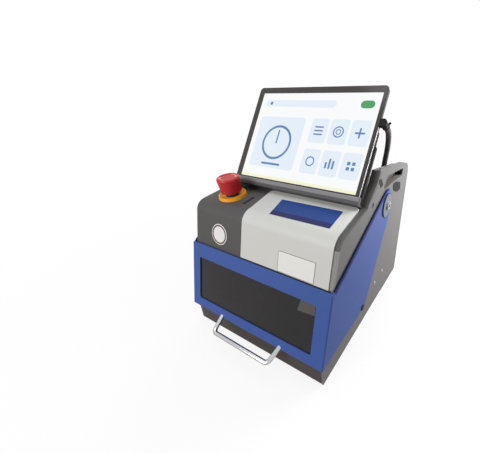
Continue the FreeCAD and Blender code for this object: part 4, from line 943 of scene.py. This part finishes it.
@dataclass
class Housing:
    """Base, side plates, dark housing, light cover, and the plain plates and skins on them."""

    cover_lift: float = 2.5
    plate: tuple[Pair, ...] = ((13.9, -3.3), (110.6, -1.3), (107.5, 43.1), (3.4, 39.6))
    plate_band: float = -0.52
    plate_thick: float = 0.4
    band_proud: float = 0.1
    front_plate_centre: Pair = (75.4, 136.2)
    front_plate_half: Pair = (30.1, 15.2)
    front_plate_round: float = 1.5
    front_plate_thick: float = 0.24
    front_edge_wide: float = 0.7
    front_edge_round: float = 1.0
    front_edge_thick: float = 0.28
    badge_centre: Pair = (-75.7, 143.4)
    badge_round: float = 17.0
    badge_thick: float = 0.5
    badge_ring_inset: Pair = (1.4, 3.8)
    badge_ring_tall: float = 0.65
    lip_centre: Pair = (0.0, 117.2)
    lip_half: Pair = (129.0, 4.0)
    lip_round: float = 0.5
    lip_heights: Pair = (-2.2, -0.3)
    side: float = 133.0
    side_inner: float = 130.0
    strip_inner: float = 128.8
    # Ends and width of the painted highlight on the right side plate's front edge
    strip: tuple[Pair, ...] = ((44.8, 206.9), (32.2, 156.6))
    strip_wide: float = 6.0
    flange: tuple[Triple, ...] = (
        (175.4, 274.0, 0.0), (171.0, 266.5, 6.0), (166.0, 258.5, 12.0), (136.0, 234.5, 6.0),
        (134.0, 230.33, 0.5), (50.16, 219.44, 20.0), (46.74, 205.8, 0.0))
    flange_wide: tuple[Pair, ...] = (
        (0.0, 5.0), (0.1, 7.0), (0.2, 7.0), (0.33, 2.0), (0.55, 1.0), (0.75, 3.0), (0.9, 5.5), (1.0, 4.5))
    # Outlines of the painted shade in the slot, the slit and the grips' rear ends, and of the painted light
    # on the grips' pads and sills, with their heights
    slot: tuple[Triple, ...] = (
        (169.6, 261.5, 1.5), (182.2, 246.5, 1.5), (194.2, 248.2, 1.5), (181.5, 261.2, 1.5))
    slot_proud: float = 0.3
    slit: tuple[Triple, ...] = (
        (152.1, 223.6, 0.1), (157.9, 223.6, 0.1), (157.9, 231.4, 0.1), (152.1, 231.4, 0.1))
    slit_sunk: Pair = (2.0, 0.3)
    grip_end: tuple[Triple, ...] = (
        (298.8, 238.5, 0.3), (300.4, 238.5, 1.0), (306.8, 249.4, 1.0), (298.8, 250.2, 0.3))
    grip_end_sunk: float = 0.5
    grip_floor: float = 120.2
    grip_pad: tuple[Triple, ...] = (
        (212.5, 257.2, 1.0), (196.2, 239.4, 1.0), (298.6, 238.6, 0.3), (298.6, 250.0, 0.3))
    grip_pad_heights: Pair = (-0.3, 0.05)
    grip_sill: tuple[Triple, ...] = (
        (196.4, 239.06, 0.05), (298.6, 238.12, 0.05), (298.6, 238.4, 0.05), (196.4, 239.34, 0.05))
    grip_sill_start: float = 0.06
    grip_sill_sunk: float = 0.2
    bolt_floor: float = 139.7
    bolt_socket: float = 2.9
    bolt_socket_thick: float = 0.2

    def build(self) -> None:
        """Build the plates and dress the solids."""
        dress(Finish.BASE_GREY, "base_pan")
        dress(Finish.SIDE_GREY, "right_side_plate", "left_side_plate")
        dress(Finish.LINER_DARK, "ear_liners")
        dress(Finish.HOUSING_GREY, "top_housing", "rear_deck", "rear_panel")
        dress(Finish.COVER_LIGHT, "centre_cover")
        dress(Finish.BLACK_PLASTIC, "side_plugs", "fan_frame", "fan_rotor", "power_inlet")
        dress(Finish.STOP_RED, "rocker_switch")
        dress(Finish.BOLT_STEEL, "panel_screws")
        dress(Finish.RUBBER, "rubber_feet")
        dress(Finish.SMOKE_LENS, "status_lens")
        self.name_plate()
        self.front_plate()
        self.badge()
        self.lip()
        self.side_edges()
        self.side_inserts()

    def name_plate(self) -> None:
        """Plain blue plate with slanted ends and a darker foot, on the cover's top."""
        low, high = self.cover_lift, self.cover_lift + self.plate_thick
        grid = outline_grid(HOUSING_TOP, quad_outline(self.plate), low, high)
        build_piece("cover_name_plate", [grid], Finish.PLATE_BLUE)
        foot = quad_outline(self.plate, self.plate_band)
        band = outline_grid(HOUSING_TOP, foot, low, high + self.band_proud)
        build_piece("cover_name_plate_foot", [band], Finish.PLATE_NAVY)

    def front_plate(self) -> None:
        """Plain pale plate with a thin grey edge, on the cover's front."""
        low, (half_a, half_b) = self.cover_lift, self.front_plate_half
        outline = rounded_outline(half_a, half_b, self.front_plate_round)
        grid = plate_grid(HOUSING_FRONT, self.front_plate_centre, outline, low, low + self.front_plate_thick)
        build_piece("cover_front_plate", [grid], Finish.PLATE_PALE)
        inside = rounded_outline(
            half_a - self.front_edge_wide, half_b - self.front_edge_wide, self.front_edge_round)
        high = low + self.front_edge_thick
        edge = ring_grid(HOUSING_FRONT, self.front_plate_centre, outline, inside, low, high)
        build_piece("cover_front_plate_edge", [edge], Finish.BADGE_GREY, wrap_rows=True)

    def badge(self) -> None:
        """Plain round plate with a plain ring just inside its edge, on the housing's front."""
        outline = circle_outline(self.badge_round)
        disc = plate_grid(HOUSING_FRONT, self.badge_centre, outline, 0.0, self.badge_thick)
        build_piece("housing_badge", [disc], Finish.PLATE_PALE)
        outside, inside = (circle_outline(self.badge_round - inset) for inset in self.badge_ring_inset)
        rim = ring_grid(HOUSING_FRONT, self.badge_centre, outside, inside, 0.0, self.badge_ring_tall)
        build_piece("housing_badge_ring", [rim], Finish.BADGE_RING, wrap_rows=True)

    def lip(self) -> None:
        """Dark lip behind the gap between the hood's top edge and the housing."""
        outline = rounded_outline(*self.lip_half, self.lip_round, steps=3)
        grid = plate_grid(HOUSING_FRONT, self.lip_centre, outline, *self.lip_heights)
        build_piece("housing_lip", [grid], Finish.HOUSING_GREY)

    def side_edges(self) -> None:
        """Dark edge on the right side plate from its ear to the front, and below it a light strip of painted
        highlight along the plate's front edge.
        """
        path = rounded_path(self.flange)
        run = np.concatenate([[0.0], np.cumsum(np.linalg.norm(np.diff(path, axis=0), axis=1))])
        wide = np.interp(run / run[-1], *zip(*self.flange_wide))
        edge = edge_grid(RIGHT_SIDE, path, wide, self.side_inner, self.side)
        build_piece("right_plate_edge", [edge], Finish.HOUSING_GREY)
        front = np.array(self.strip)
        strip = edge_grid(RIGHT_SIDE, front, np.full(2, self.strip_wide), self.strip_inner, self.side)
        build_piece("right_strip_skin", [strip], Finish.STRIP_LIGHT)

    def side_inserts(self) -> None:
        """Painted shade in the slots, the grips' rear ends and the pivot bolts' sockets, as black skins; and
        painted light on the grips' floors and sills, as pale pads.
        """
        face, floor = self.side, self.grip_floor
        slit_low, slit_high = self.slit_sunk
        pad_low, pad_high = self.grip_pad_heights
        black = ((self.slot, face + SKIN_GAP, face + self.slot_proud),
                 (self.slit, face - slit_low, face - slit_high),
                 (self.grip_end, floor, face - self.grip_end_sunk))
        pale = ((self.grip_pad, floor + pad_low, floor + pad_high),
                (self.grip_sill, floor + self.grip_sill_start, face - self.grip_sill_sunk))
        socket = circle_outline(self.bolt_socket, steps=24)
        socket_top = self.bolt_floor + self.bolt_socket_thick
        inserts, pads = [], []
        for panel, sign in ((RIGHT_SIDE, 1.0), (LEFT_SIDE, -1.0)):
            turn = np.array([sign, 1.0])
            for grids, rows in ((inserts, black), (pads, pale)):
                for corners, low, high in rows:
                    grids.append(outline_grid(panel, rounded_path(corners, closed=True) * turn, low, high))
            inserts.append(plate_grid(panel, (sign * PIVOT_Y, PIVOT_Z), socket, self.bolt_floor, socket_top))
        build_piece("side_inserts", inserts, Finish.BLACK_PLASTIC)
        build_piece("grip_pads", pads, Finish.GRIP_GREY)


@dataclass
class StopButton:
    """Emergency stop: red head, yellow bezel, and two pale curved bars in the head's dish."""

    across: float = -87.0
    depth: float = 88.2
    head_top: float = 34.0
    dish_deep: float = 1.2
    mark_round: float = 12.4
    mark_wide: float = 1.4
    mark_tall: float = 0.25
    mark_sunk: float = 0.05
    mark_turns: tuple[Pair, ...] = ((20.0, 110.0), (200.0, 290.0))

    def build(self) -> None:
        """Build the marks and dress the solids."""
        dress(Finish.STOP_RED, "estop_head")
        dress(Finish.STOP_YELLOW, "estop_ring")
        dress(Finish.STOP_GREY, "estop_stem", "estop_block")
        centre = (self.across, (self.depth - HOUSING_TOP_Y) / math.cos(math.radians(HOUSING_RISE)))
        dish = self.head_top - self.dish_deep
        low, high = dish - self.mark_sunk, dish + self.mark_tall
        grids = [arc_grid(HOUSING_TOP, centre, self.mark_round, self.mark_wide, turn, low, high)
                 for turn in self.mark_turns]
        build_piece("stop_turn_marks", grids, Finish.STOP_MARK, body="stop_head")


# Layer of the screen's pictures, over its ground and its tiles
PICTURE_LAYER = 3


@dataclass(frozen=True)
class Mark:
    """A bar in one of the screen's pictures, placed from the picture's middle."""

    place: Pair
    half: Pair
    corner: float
    layer: int = PICTURE_LAYER


LIST_MARKS = [Mark((0.0, step), (8.0, 1.2), 1.1) for step in (-6.0, 0.0, 6.0)]
CHART_MARKS = [Mark((step, tall - 4.0), (1.6, tall + 4.0), 0.8)
               for step, tall in ((-6.0, 1.0), (0.0, 4.0), (6.0, 2.5))]
GRID_MARKS = [Mark((a, b), (2.6, 2.6), 1.0) for a in (-4.0, 4.0) for b in (-4.0, 4.0)]
PLUS_MARKS = [Mark((0.0, 0.0), (8.0, 1.4), 1.0), Mark((0.0, 0.0), (1.4, 8.0), 1.0, PICTURE_LAYER + 1)]
DIAL_MARKS = [Mark((0.0, 10.0), (1.4, 12.0), 1.0), Mark((0.0, -38.0), (20.0, 1.8), 1.6)]
SEARCH_MARKS = [Mark((-58.0, 0.0), (3.0, 3.0), 2.9)]


@dataclass
class Tablet:
    """Tablet on its stand, with a plain made-up screen: a dial card, six tiles and two bars."""

    screen_half: float = 111.0
    screen_low: float = -1.4
    screen_high: float = 150.2
    screen_round: float = 1.0
    layer: float = 0.06
    # Profile and half width of the painted light on the ledge's upper edge
    lip: tuple[Triple, ...] = ((0.8, -5.0, 0.0), (9.0, -5.0, 4.0), (9.0, -11.5, 0.0))
    lip_half: float = 124.7
    trim_centre: Pair = (1.6, 45.5)
    trim_half: Pair = (1.0, 54.0)
    trim_round: float = 0.2
    trim_heights: Pair = (-0.1, 0.25)
    tile_half: Pair = (15.5, 20.0)
    tile_round: float = 4.0
    tile_columns: tuple[float, ...] = (22.0, 57.0, 92.0)
    tile_rows: Pair = (38.0, 88.0)
    card_centre: Pair = (-54.0, 63.0)
    card_half: Pair = (47.0, 45.0)
    card_round: float = 5.0
    search_centre: Pair = (-30.0, 132.0)
    search_half: Pair = (71.0, 6.0)
    switch_centre: Pair = (92.0, 132.0)
    switch_half: Pair = (11.0, 6.0)
    bar_round: float = 5.9
    footer_centre: Pair = (0.0, 1.2)
    footer_half: float = 2.2
    footer_inset: float = 0.5
    dial_ring: Pair = (30.0, 4.0)
    dot_ring: Pair = (8.0, 2.0)
    target_rings: tuple[Pair, ...] = ((9.0, 2.0), (4.5, 1.5))

    def build(self) -> None:
        """Build the screen and dress the solids."""
        dress(Finish.TABLET_SHELL, "tablet_body")
        dress(Finish.TABLET_GLASS, "tablet_glass")
        dress(Finish.HOUSING_GREY, "tablet_holder")
        dress(Finish.LEDGE_GREY, "tablet_ledge")
        self.ledge_lip()
        outline = rounded_outline(*self.trim_half, self.trim_round, steps=3)
        trim = plate_grid(TABLET_SIDE, self.trim_centre, outline, *self.trim_heights)
        build_piece("tablet_edge_trim", [trim], Finish.TRIM_SILVER)
        self.screen()

    def ledge_lip(self) -> None:
        """Painted light: a lighter skin over the ledge's rounded upper edge, where light falls on it, as the
        edge's profile carried straight across.
        """
        path = rounded_path(self.lip)
        left = left_of(path)
        section = np.concatenate([path + left * SKIN, (path + left * SKIN_GAP)[::-1]])
        across = np.array([-self.lip_half, self.lip_half])
        flat = np.stack(np.broadcast_arrays(across[:, None], section[None, :, 1]), axis=-1)
        grid = TABLET_FACE.lift(flat, section[None, :, 0])
        build_piece("tablet_ledge_lip", [grid], Finish.LEDGE_LIP)

    def box(self, centre: Pair, half: Pair, corner: float, layer: int) -> np.ndarray:
        """Rounded rectangle on one layer of the screen.

        Args:
            centre: Its middle.
            half: Half its width and half its height.
            corner: Corner radius.
            layer: Layer above the glass, from 1.

        Returns:
            Its grid.
        """
        outline = rounded_outline(*half, corner, steps=5)
        return plate_grid(SCREEN_FACE, centre, outline, *self.heights(layer))

    def ring(self, centre: Pair, radius: float, width: float) -> np.ndarray:
        """Ring in one of the screen's pictures.

        Args:
            centre: Its middle.
            radius: Outer radius.
            width: Its width.

        Returns:
            Its grid.
        """
        outside, inside = circle_outline(radius), circle_outline(radius - width)
        return ring_grid(SCREEN_FACE, centre, outside, inside, *self.heights(PICTURE_LAYER))

    def heights(self, layer: int) -> Pair:
        """Lower and upper height of one of the screen's layers, counted from 1."""
        return (layer - 1) * self.layer, layer * self.layer

    def screen(self) -> None:
        """Lay out the lit screen in layers: the ground, the tiles and bars on it, and their pictures."""
        middle = (0.0, (self.screen_low + self.screen_high) / 2)
        half = (self.screen_half, (self.screen_high - self.screen_low) / 2)
        ground = self.box(middle, half, self.screen_round, layer=1)
        tiles = [(a, b) for a in self.tile_columns for b in self.tile_rows]
        pale = [self.box(tile, self.tile_half, self.tile_round, layer=2) for tile in tiles]
        pale.append(self.box(self.card_centre, self.card_half, self.card_round, layer=2))
        pale.append(self.box(self.search_centre, self.search_half, self.bar_round, layer=2))
        footer_half = (self.screen_half - self.footer_inset, self.footer_half)
        footer = self.box(self.footer_centre, footer_half, self.footer_inset, layer=2)
        switch = self.box(self.switch_centre, self.switch_half, self.bar_round, layer=2)
        dot_tile, list_tile, chart_tile, target_tile, grid_tile, plus_tile = tiles
        rings = [self.ring(self.card_centre, *self.dial_ring), self.ring(dot_tile, *self.dot_ring)]
        rings += [self.ring(target_tile, *size) for size in self.target_rings]
        pictures = ((list_tile, LIST_MARKS), (chart_tile, CHART_MARKS), (grid_tile, GRID_MARKS),
                    (plus_tile, PLUS_MARKS), (self.card_centre, DIAL_MARKS),
                    (self.search_centre, SEARCH_MARKS))
        bars = [self.box(tuple(np.add(centre, mark.place)), mark.half, mark.corner, mark.layer)
                for centre, marks in pictures for mark in marks]
        for name, grids, finish, wrap_rows in (
                ("screen_ground", [ground], Finish.SCREEN_WHITE, False),
                ("screen_tiles", pale, Finish.SCREEN_PALE, False),
                ("screen_footer", [footer], Finish.SCREEN_CREAM, False),
                ("screen_switch", [switch], Finish.SCREEN_GREEN, False),
                ("screen_rings", rings, Finish.SCREEN_LINE, True),
                ("screen_marks", bars, Finish.SCREEN_LINE, False)):
            build_piece(name, grids, finish, wrap_rows=wrap_rows)


@dataclass
class Cable:
    """Cable from the tablet's edge to the gland on the deck, with a small tie by the plug."""

    round: float = 4.5
    route: tuple[Triple, ...] = (
        (123.0, 222.0, 325.5),
        (119.5, 240.0, 311.0),
        (115.0, 253.5, 290.0),
        (110.5, 257.5, 262.0),
    )
    exit_across: float = 125.2
    exit_behind: float = 12.0
    exit_along: float = 107.0
    tie_share: float = 0.03
    tie_thick: float = 1.0
    tie_half: float = 1.3
    tail_way: Triple = (0.7, 0.0, 0.7)
    tail_reach: float = 2.4
    tail_half: Triple = (1.8, 1.5, 1.2)
    tail_round: float = 0.6

    def points(self) -> np.ndarray:
        """Control points of the cable's line, from the plug's collar to the gland's top.

        Returns:
            Points in metres, shaped (count, 3).
        """
        start = TABLET_FACE.lift(np.array([self.exit_across, self.exit_along]), -self.exit_behind)
        low, high = (np.array(corner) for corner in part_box("cable_gland"))
        end = np.array([(low[0] + high[0]) / 2, (low[1] + high[1]) / 2, high[2]])
        return np.vstack([start, [at(*point) for point in self.route], end])

    def build(self) -> None:
        """Build the cable and dress the solids on it."""
        dress(Finish.BLACK_PLASTIC, "cable_plug", "cable_gland")
        points = self.points()
        curve = bpy.data.curves.new("tablet_cable", "CURVE")
        curve.dimensions = "3D"
        spline = curve.splines.new("NURBS")
        spline.points.add(len(points) - 1)
        for knot, point in zip(spline.points, points):
            knot.co = (*point, 1.0)
        spline.order_u = 3
        spline.use_endpoint_u = True
        spline.resolution_u = 24
        curve.bevel_depth = self.round * MM
        curve.bevel_resolution = 6
        curve.use_fill_caps = True
        curve.materials.append(material_of(Finish.CABLE_BLACK))
        cable = bpy.data.objects.new("tablet_cable", curve)
        bpy.context.scene.collection.objects.link(cable)
        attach(cable, "frame")
        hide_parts("data_cable")
        line = self.line(curve)
        self.tie(line)

    @staticmethod
    def line(curve: bpy.types.Curve) -> np.ndarray:
        """Points along the cable's middle, read from its curve with no bevel.

        Args:
            curve: The cable's curve.

        Returns:
            The line, shaped (count, 3).
        """
        bare = curve.copy()
        bare.bevel_depth = 0.0
        holder = bpy.data.objects.new("cable_line", bare)
        mesh = bpy.data.meshes.new_from_object(holder)
        places = np.empty(3 * len(mesh.vertices))
        mesh.vertices.foreach_get("co", places)
        bpy.data.meshes.remove(mesh)
        bpy.data.objects.remove(holder)
        bpy.data.curves.remove(bare)
        return places.reshape(-1, 3)

    def tie(self, line: np.ndarray) -> None:
        """Small tie round the cable: a flat ring square to its line, with a stub of tail.

        Args:
            line: Points along the cable.
        """
        here = max(1, int(len(line) * self.tie_share))
        along = line[here + 1] - line[here - 1]
        along /= np.linalg.norm(along)
        across = np.array(self.tail_way) - along * float(along @ np.array(self.tail_way))
        across /= np.linalg.norm(across)
        face = Panel(line[here], across, np.cross(along, across))
        outside, inside = circle_outline(self.round + self.tie_thick), circle_outline(self.round + SKIN_GAP)
        band = ring_grid(face, (0.0, 0.0), outside, inside, -self.tie_half, self.tie_half)
        build_piece("cable_tie", [band], Finish.BLACK_PLASTIC, wrap_rows=True)
        half_a, half_b, half_tall = self.tail_half
        outline = rounded_outline(half_a, half_b, self.tail_round, steps=4)
        tail = plate_grid(face, (self.round + self.tail_reach, 0.0), outline, -half_tall, half_tall)
        build_piece("cable_tie_tail", [tail], Finish.BLACK_PLASTIC)


@dataclass
class Works:
    """The cutting works inside the chamber and the electronics behind it."""

    def build(self) -> None:
        """Dress the solids."""
        dress(Finish.CAST_GREY, "machine_bed", "z_column")
        dress(Finish.GROUND_STEEL, "guide_rails", "y_blocks", "x_rails", "x_blocks", "z_blocks", "y_screw",
              "x_screw", "z_screw", "spindle_shaft", "cutter", "jaw_body", "moving_jaw", "clamp_screw")
        dress(Finish.ALLOY, "cross_slide", "key_table", "head_carriage", "spindle_pulley", "motor_pulley",
              "power_supply")
        dress(Finish.COVER_LIGHT, "spindle_housing")
        dress(Finish.MOTOR_BLACK, "axis_motors", "x_motor", "spindle_motor")
        dress(Finish.RUBBER, "drive_belt")
        dress(Finish.BOARD_GREEN, "control_board")


def placed(right: np.ndarray, up: np.ndarray, back: np.ndarray, place: np.ndarray) -> Matrix:
    """Matrix of something that looks along its own -Z.

    Args:
        right: Its right.
        up: Its up.
        back: Opposite of its view.
        place: Where it is, in metres.

    Returns:
        Its world matrix.
    """
    rows = np.eye(4)
    rows[:3, 0], rows[:3, 1], rows[:3, 2], rows[:3, 3] = right, up, back, place
    return Matrix(rows.tolist())


@dataclass(frozen=True)
class Lamp:
    """A square soft light: its name, its place and side in metres, and its power in watts."""

    name: str
    place: Triple
    side: float
    power: float


@dataclass
class Studio:
    """Pale floor, soft lights and the camera.

    The floor is sized in metres, and the focal length and the picture's centre are pixels of the photograph.
    """

    eye: Triple = (252.94, -189.34, 372.51)
    yaw: float = 30.62
    pitch: float = 27.58
    roll: float = 0.33
    focal: float = 260.55
    centre_across: float = 324.22
    centre_down: float = 230.96
    sensor: float = 36.0
    near_clip: float = 0.01
    sky: float = 0.26
    sky_dim: float = 0.6
    floor_half: float = 6.0
    floor_rough: float = 0.9
    floor_seen: Colour = (0.9, 0.9, 0.9)
    floor_bounce: Colour = (0.36, 0.3, 0.27)
    floor_white: float = 0.8
    floor_dim: float = 0.4
    floor_shadow: float = 0.75
    lamps: tuple[Lamp, ...] = (
        Lamp("key", (0.4, 0.34, 0.48), 0.25, 3.2),
        Lamp("side", (0.6, 0.5, 0.12), 0.3, 2.2),
        Lamp("front", (-0.35, -1.5, 0.75), 0.9, 17.5),
        Lamp("top", (-0.1, 0.1, 1.5), 1.2, 7.0),
        Lamp("back", (-0.7, 1.4, 0.9), 1.0, 10.0),
    )
    # Almost upright, so that a lamp straight overhead still has a side to turn to
    lamp_up: Triple = (0.0, 0.001, 1.0)

    def build(self) -> None:
        """Build everything round the object."""
        self.floor()
        self.world()
        for lamp in self.lamps:
            self.light(lamp)
        self.camera()
        bpy.context.scene.view_settings.view_transform = "Standard"

    def floor(self) -> None:
        """Floor that is white to the camera, with a soft shadow, and lights the machine as warm wood does."""
        reach = self.floor_half
        corners = [(-reach, -reach, 0), (reach, -reach, 0), (reach, reach, 0), (-reach, reach, 0)]
        mesh = bpy.data.meshes.new("floor")
        mesh.from_pydata(corners, [], [(0, 1, 2, 3)])
        surface = Surface("floor_white")
        surface.constants(Roughness=self.floor_rough, Specular_IOR_Level=0.0)
        seen, passed, mirrored = (surface.rays(kind) for kind in ("Camera", "Transmission", "Glossy"))
        surface.feed("Base Color", surface.blend(seen, self.floor_bounce, self.floor_seen))
        far = surface.node(
            "ShaderNodeVectorMath", {"operation": "LENGTH"}, {0: surface.place()}, output="Value")
        near = (seen + passed) * (far * ((1 - self.floor_white) / self.floor_shadow) + self.floor_white)
        share = (near + mirrored * self.floor_dim).at_most(1.0)
        glow = surface.node("ShaderNodeEmission", inputs={"Color": WHITE, "Strength": 1.0})
        mixed = surface.node("ShaderNodeMixShader", inputs={
            0: share, 1: Socket(surface, surface.shader.outputs[0]), 2: glow})
        surface.tree.links.new(mixed.output, surface.tree.nodes["Material Output"].inputs["Surface"])
        mesh.materials.append(surface.owner)
        floor = bpy.data.objects.new("floor", mesh)
        bpy.context.scene.collection.objects.link(floor)
        floor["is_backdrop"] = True

    def world(self) -> None:
        """Even pale light from all round, white to the camera and through glass, less so in reflections."""
        sky = Shading(bpy.data.worlds.new("studio"), "Background")
        bpy.context.scene.world = sky.owner
        seen, passed, mirrored = (sky.rays(kind) for kind in ("Camera", "Transmission", "Glossy"))
        share = (mirrored * self.sky_dim + (seen + passed)).at_most(1.0)
        sky.feed("Strength", share * (1 - self.sky) + self.sky)
        sky.constants(Color=WHITE)

    def light(self, lamp: Lamp) -> None:
        """Set up one lamp, facing the machine's middle.

        Args:
            lamp: The lamp.
        """
        data = bpy.data.lights.new(lamp.name, "AREA")
        data.size = lamp.side
        data.energy = lamp.power
        piece = bpy.data.objects.new(lamp.name, data)
        bpy.context.scene.collection.objects.link(piece)
        low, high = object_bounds()
        aim = (np.array(low) + np.array(high)) / 2 - np.array(lamp.place)
        back = -aim / np.linalg.norm(aim)
        side = np.cross(self.lamp_up, back)
        side /= np.linalg.norm(side)
        piece.matrix_world = placed(side, np.cross(back, side), back, np.array(lamp.place))

    def camera(self) -> None:
        """Camera at the photograph's place, with its principal point set by the lens shift."""
        lens = bpy.data.cameras.new("camera")
        lens.sensor_width = self.sensor
        lens.sensor_fit = "HORIZONTAL"
        lens.lens = self.sensor * self.focal / IMAGE_WIDTH
        lens.shift_x = -(self.centre_across - IMAGE_WIDTH / 2) / IMAGE_WIDTH
        lens.shift_y = (self.centre_down - IMAGE_HEIGHT / 2) / IMAGE_WIDTH
        lens.clip_start = self.near_clip
        yaw, pitch, roll = (math.radians(angle) for angle in (self.yaw, self.pitch, self.roll))
        level = math.cos(pitch)
        ahead = np.array([-math.sin(yaw) * level, math.cos(yaw) * level, -math.sin(pitch)])
        right = np.array([math.cos(yaw), math.sin(yaw), 0.0])
        up = np.cross(right, ahead)
        tipped = right * math.cos(roll) - up * math.sin(roll)
        upright = up * math.cos(roll) + right * math.sin(roll)
        piece = bpy.data.objects.new("camera", lens)
        bpy.context.scene.collection.objects.link(piece)
        piece.matrix_world = placed(tipped, upright, -ahead, at(*self.eye))
        bpy.context.scene.camera = piece


def main() -> None:
    """Build the object's looks, then the studio."""
    logging.basicConfig(level=logging.INFO, format="%(name)s: %(message)s")
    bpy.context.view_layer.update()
    for part in (Housing(), Hood(), StopButton(), Tablet(), Cable(), Works()):
        part.build()
    Studio().build()


if __name__ == "__main__":
    main()
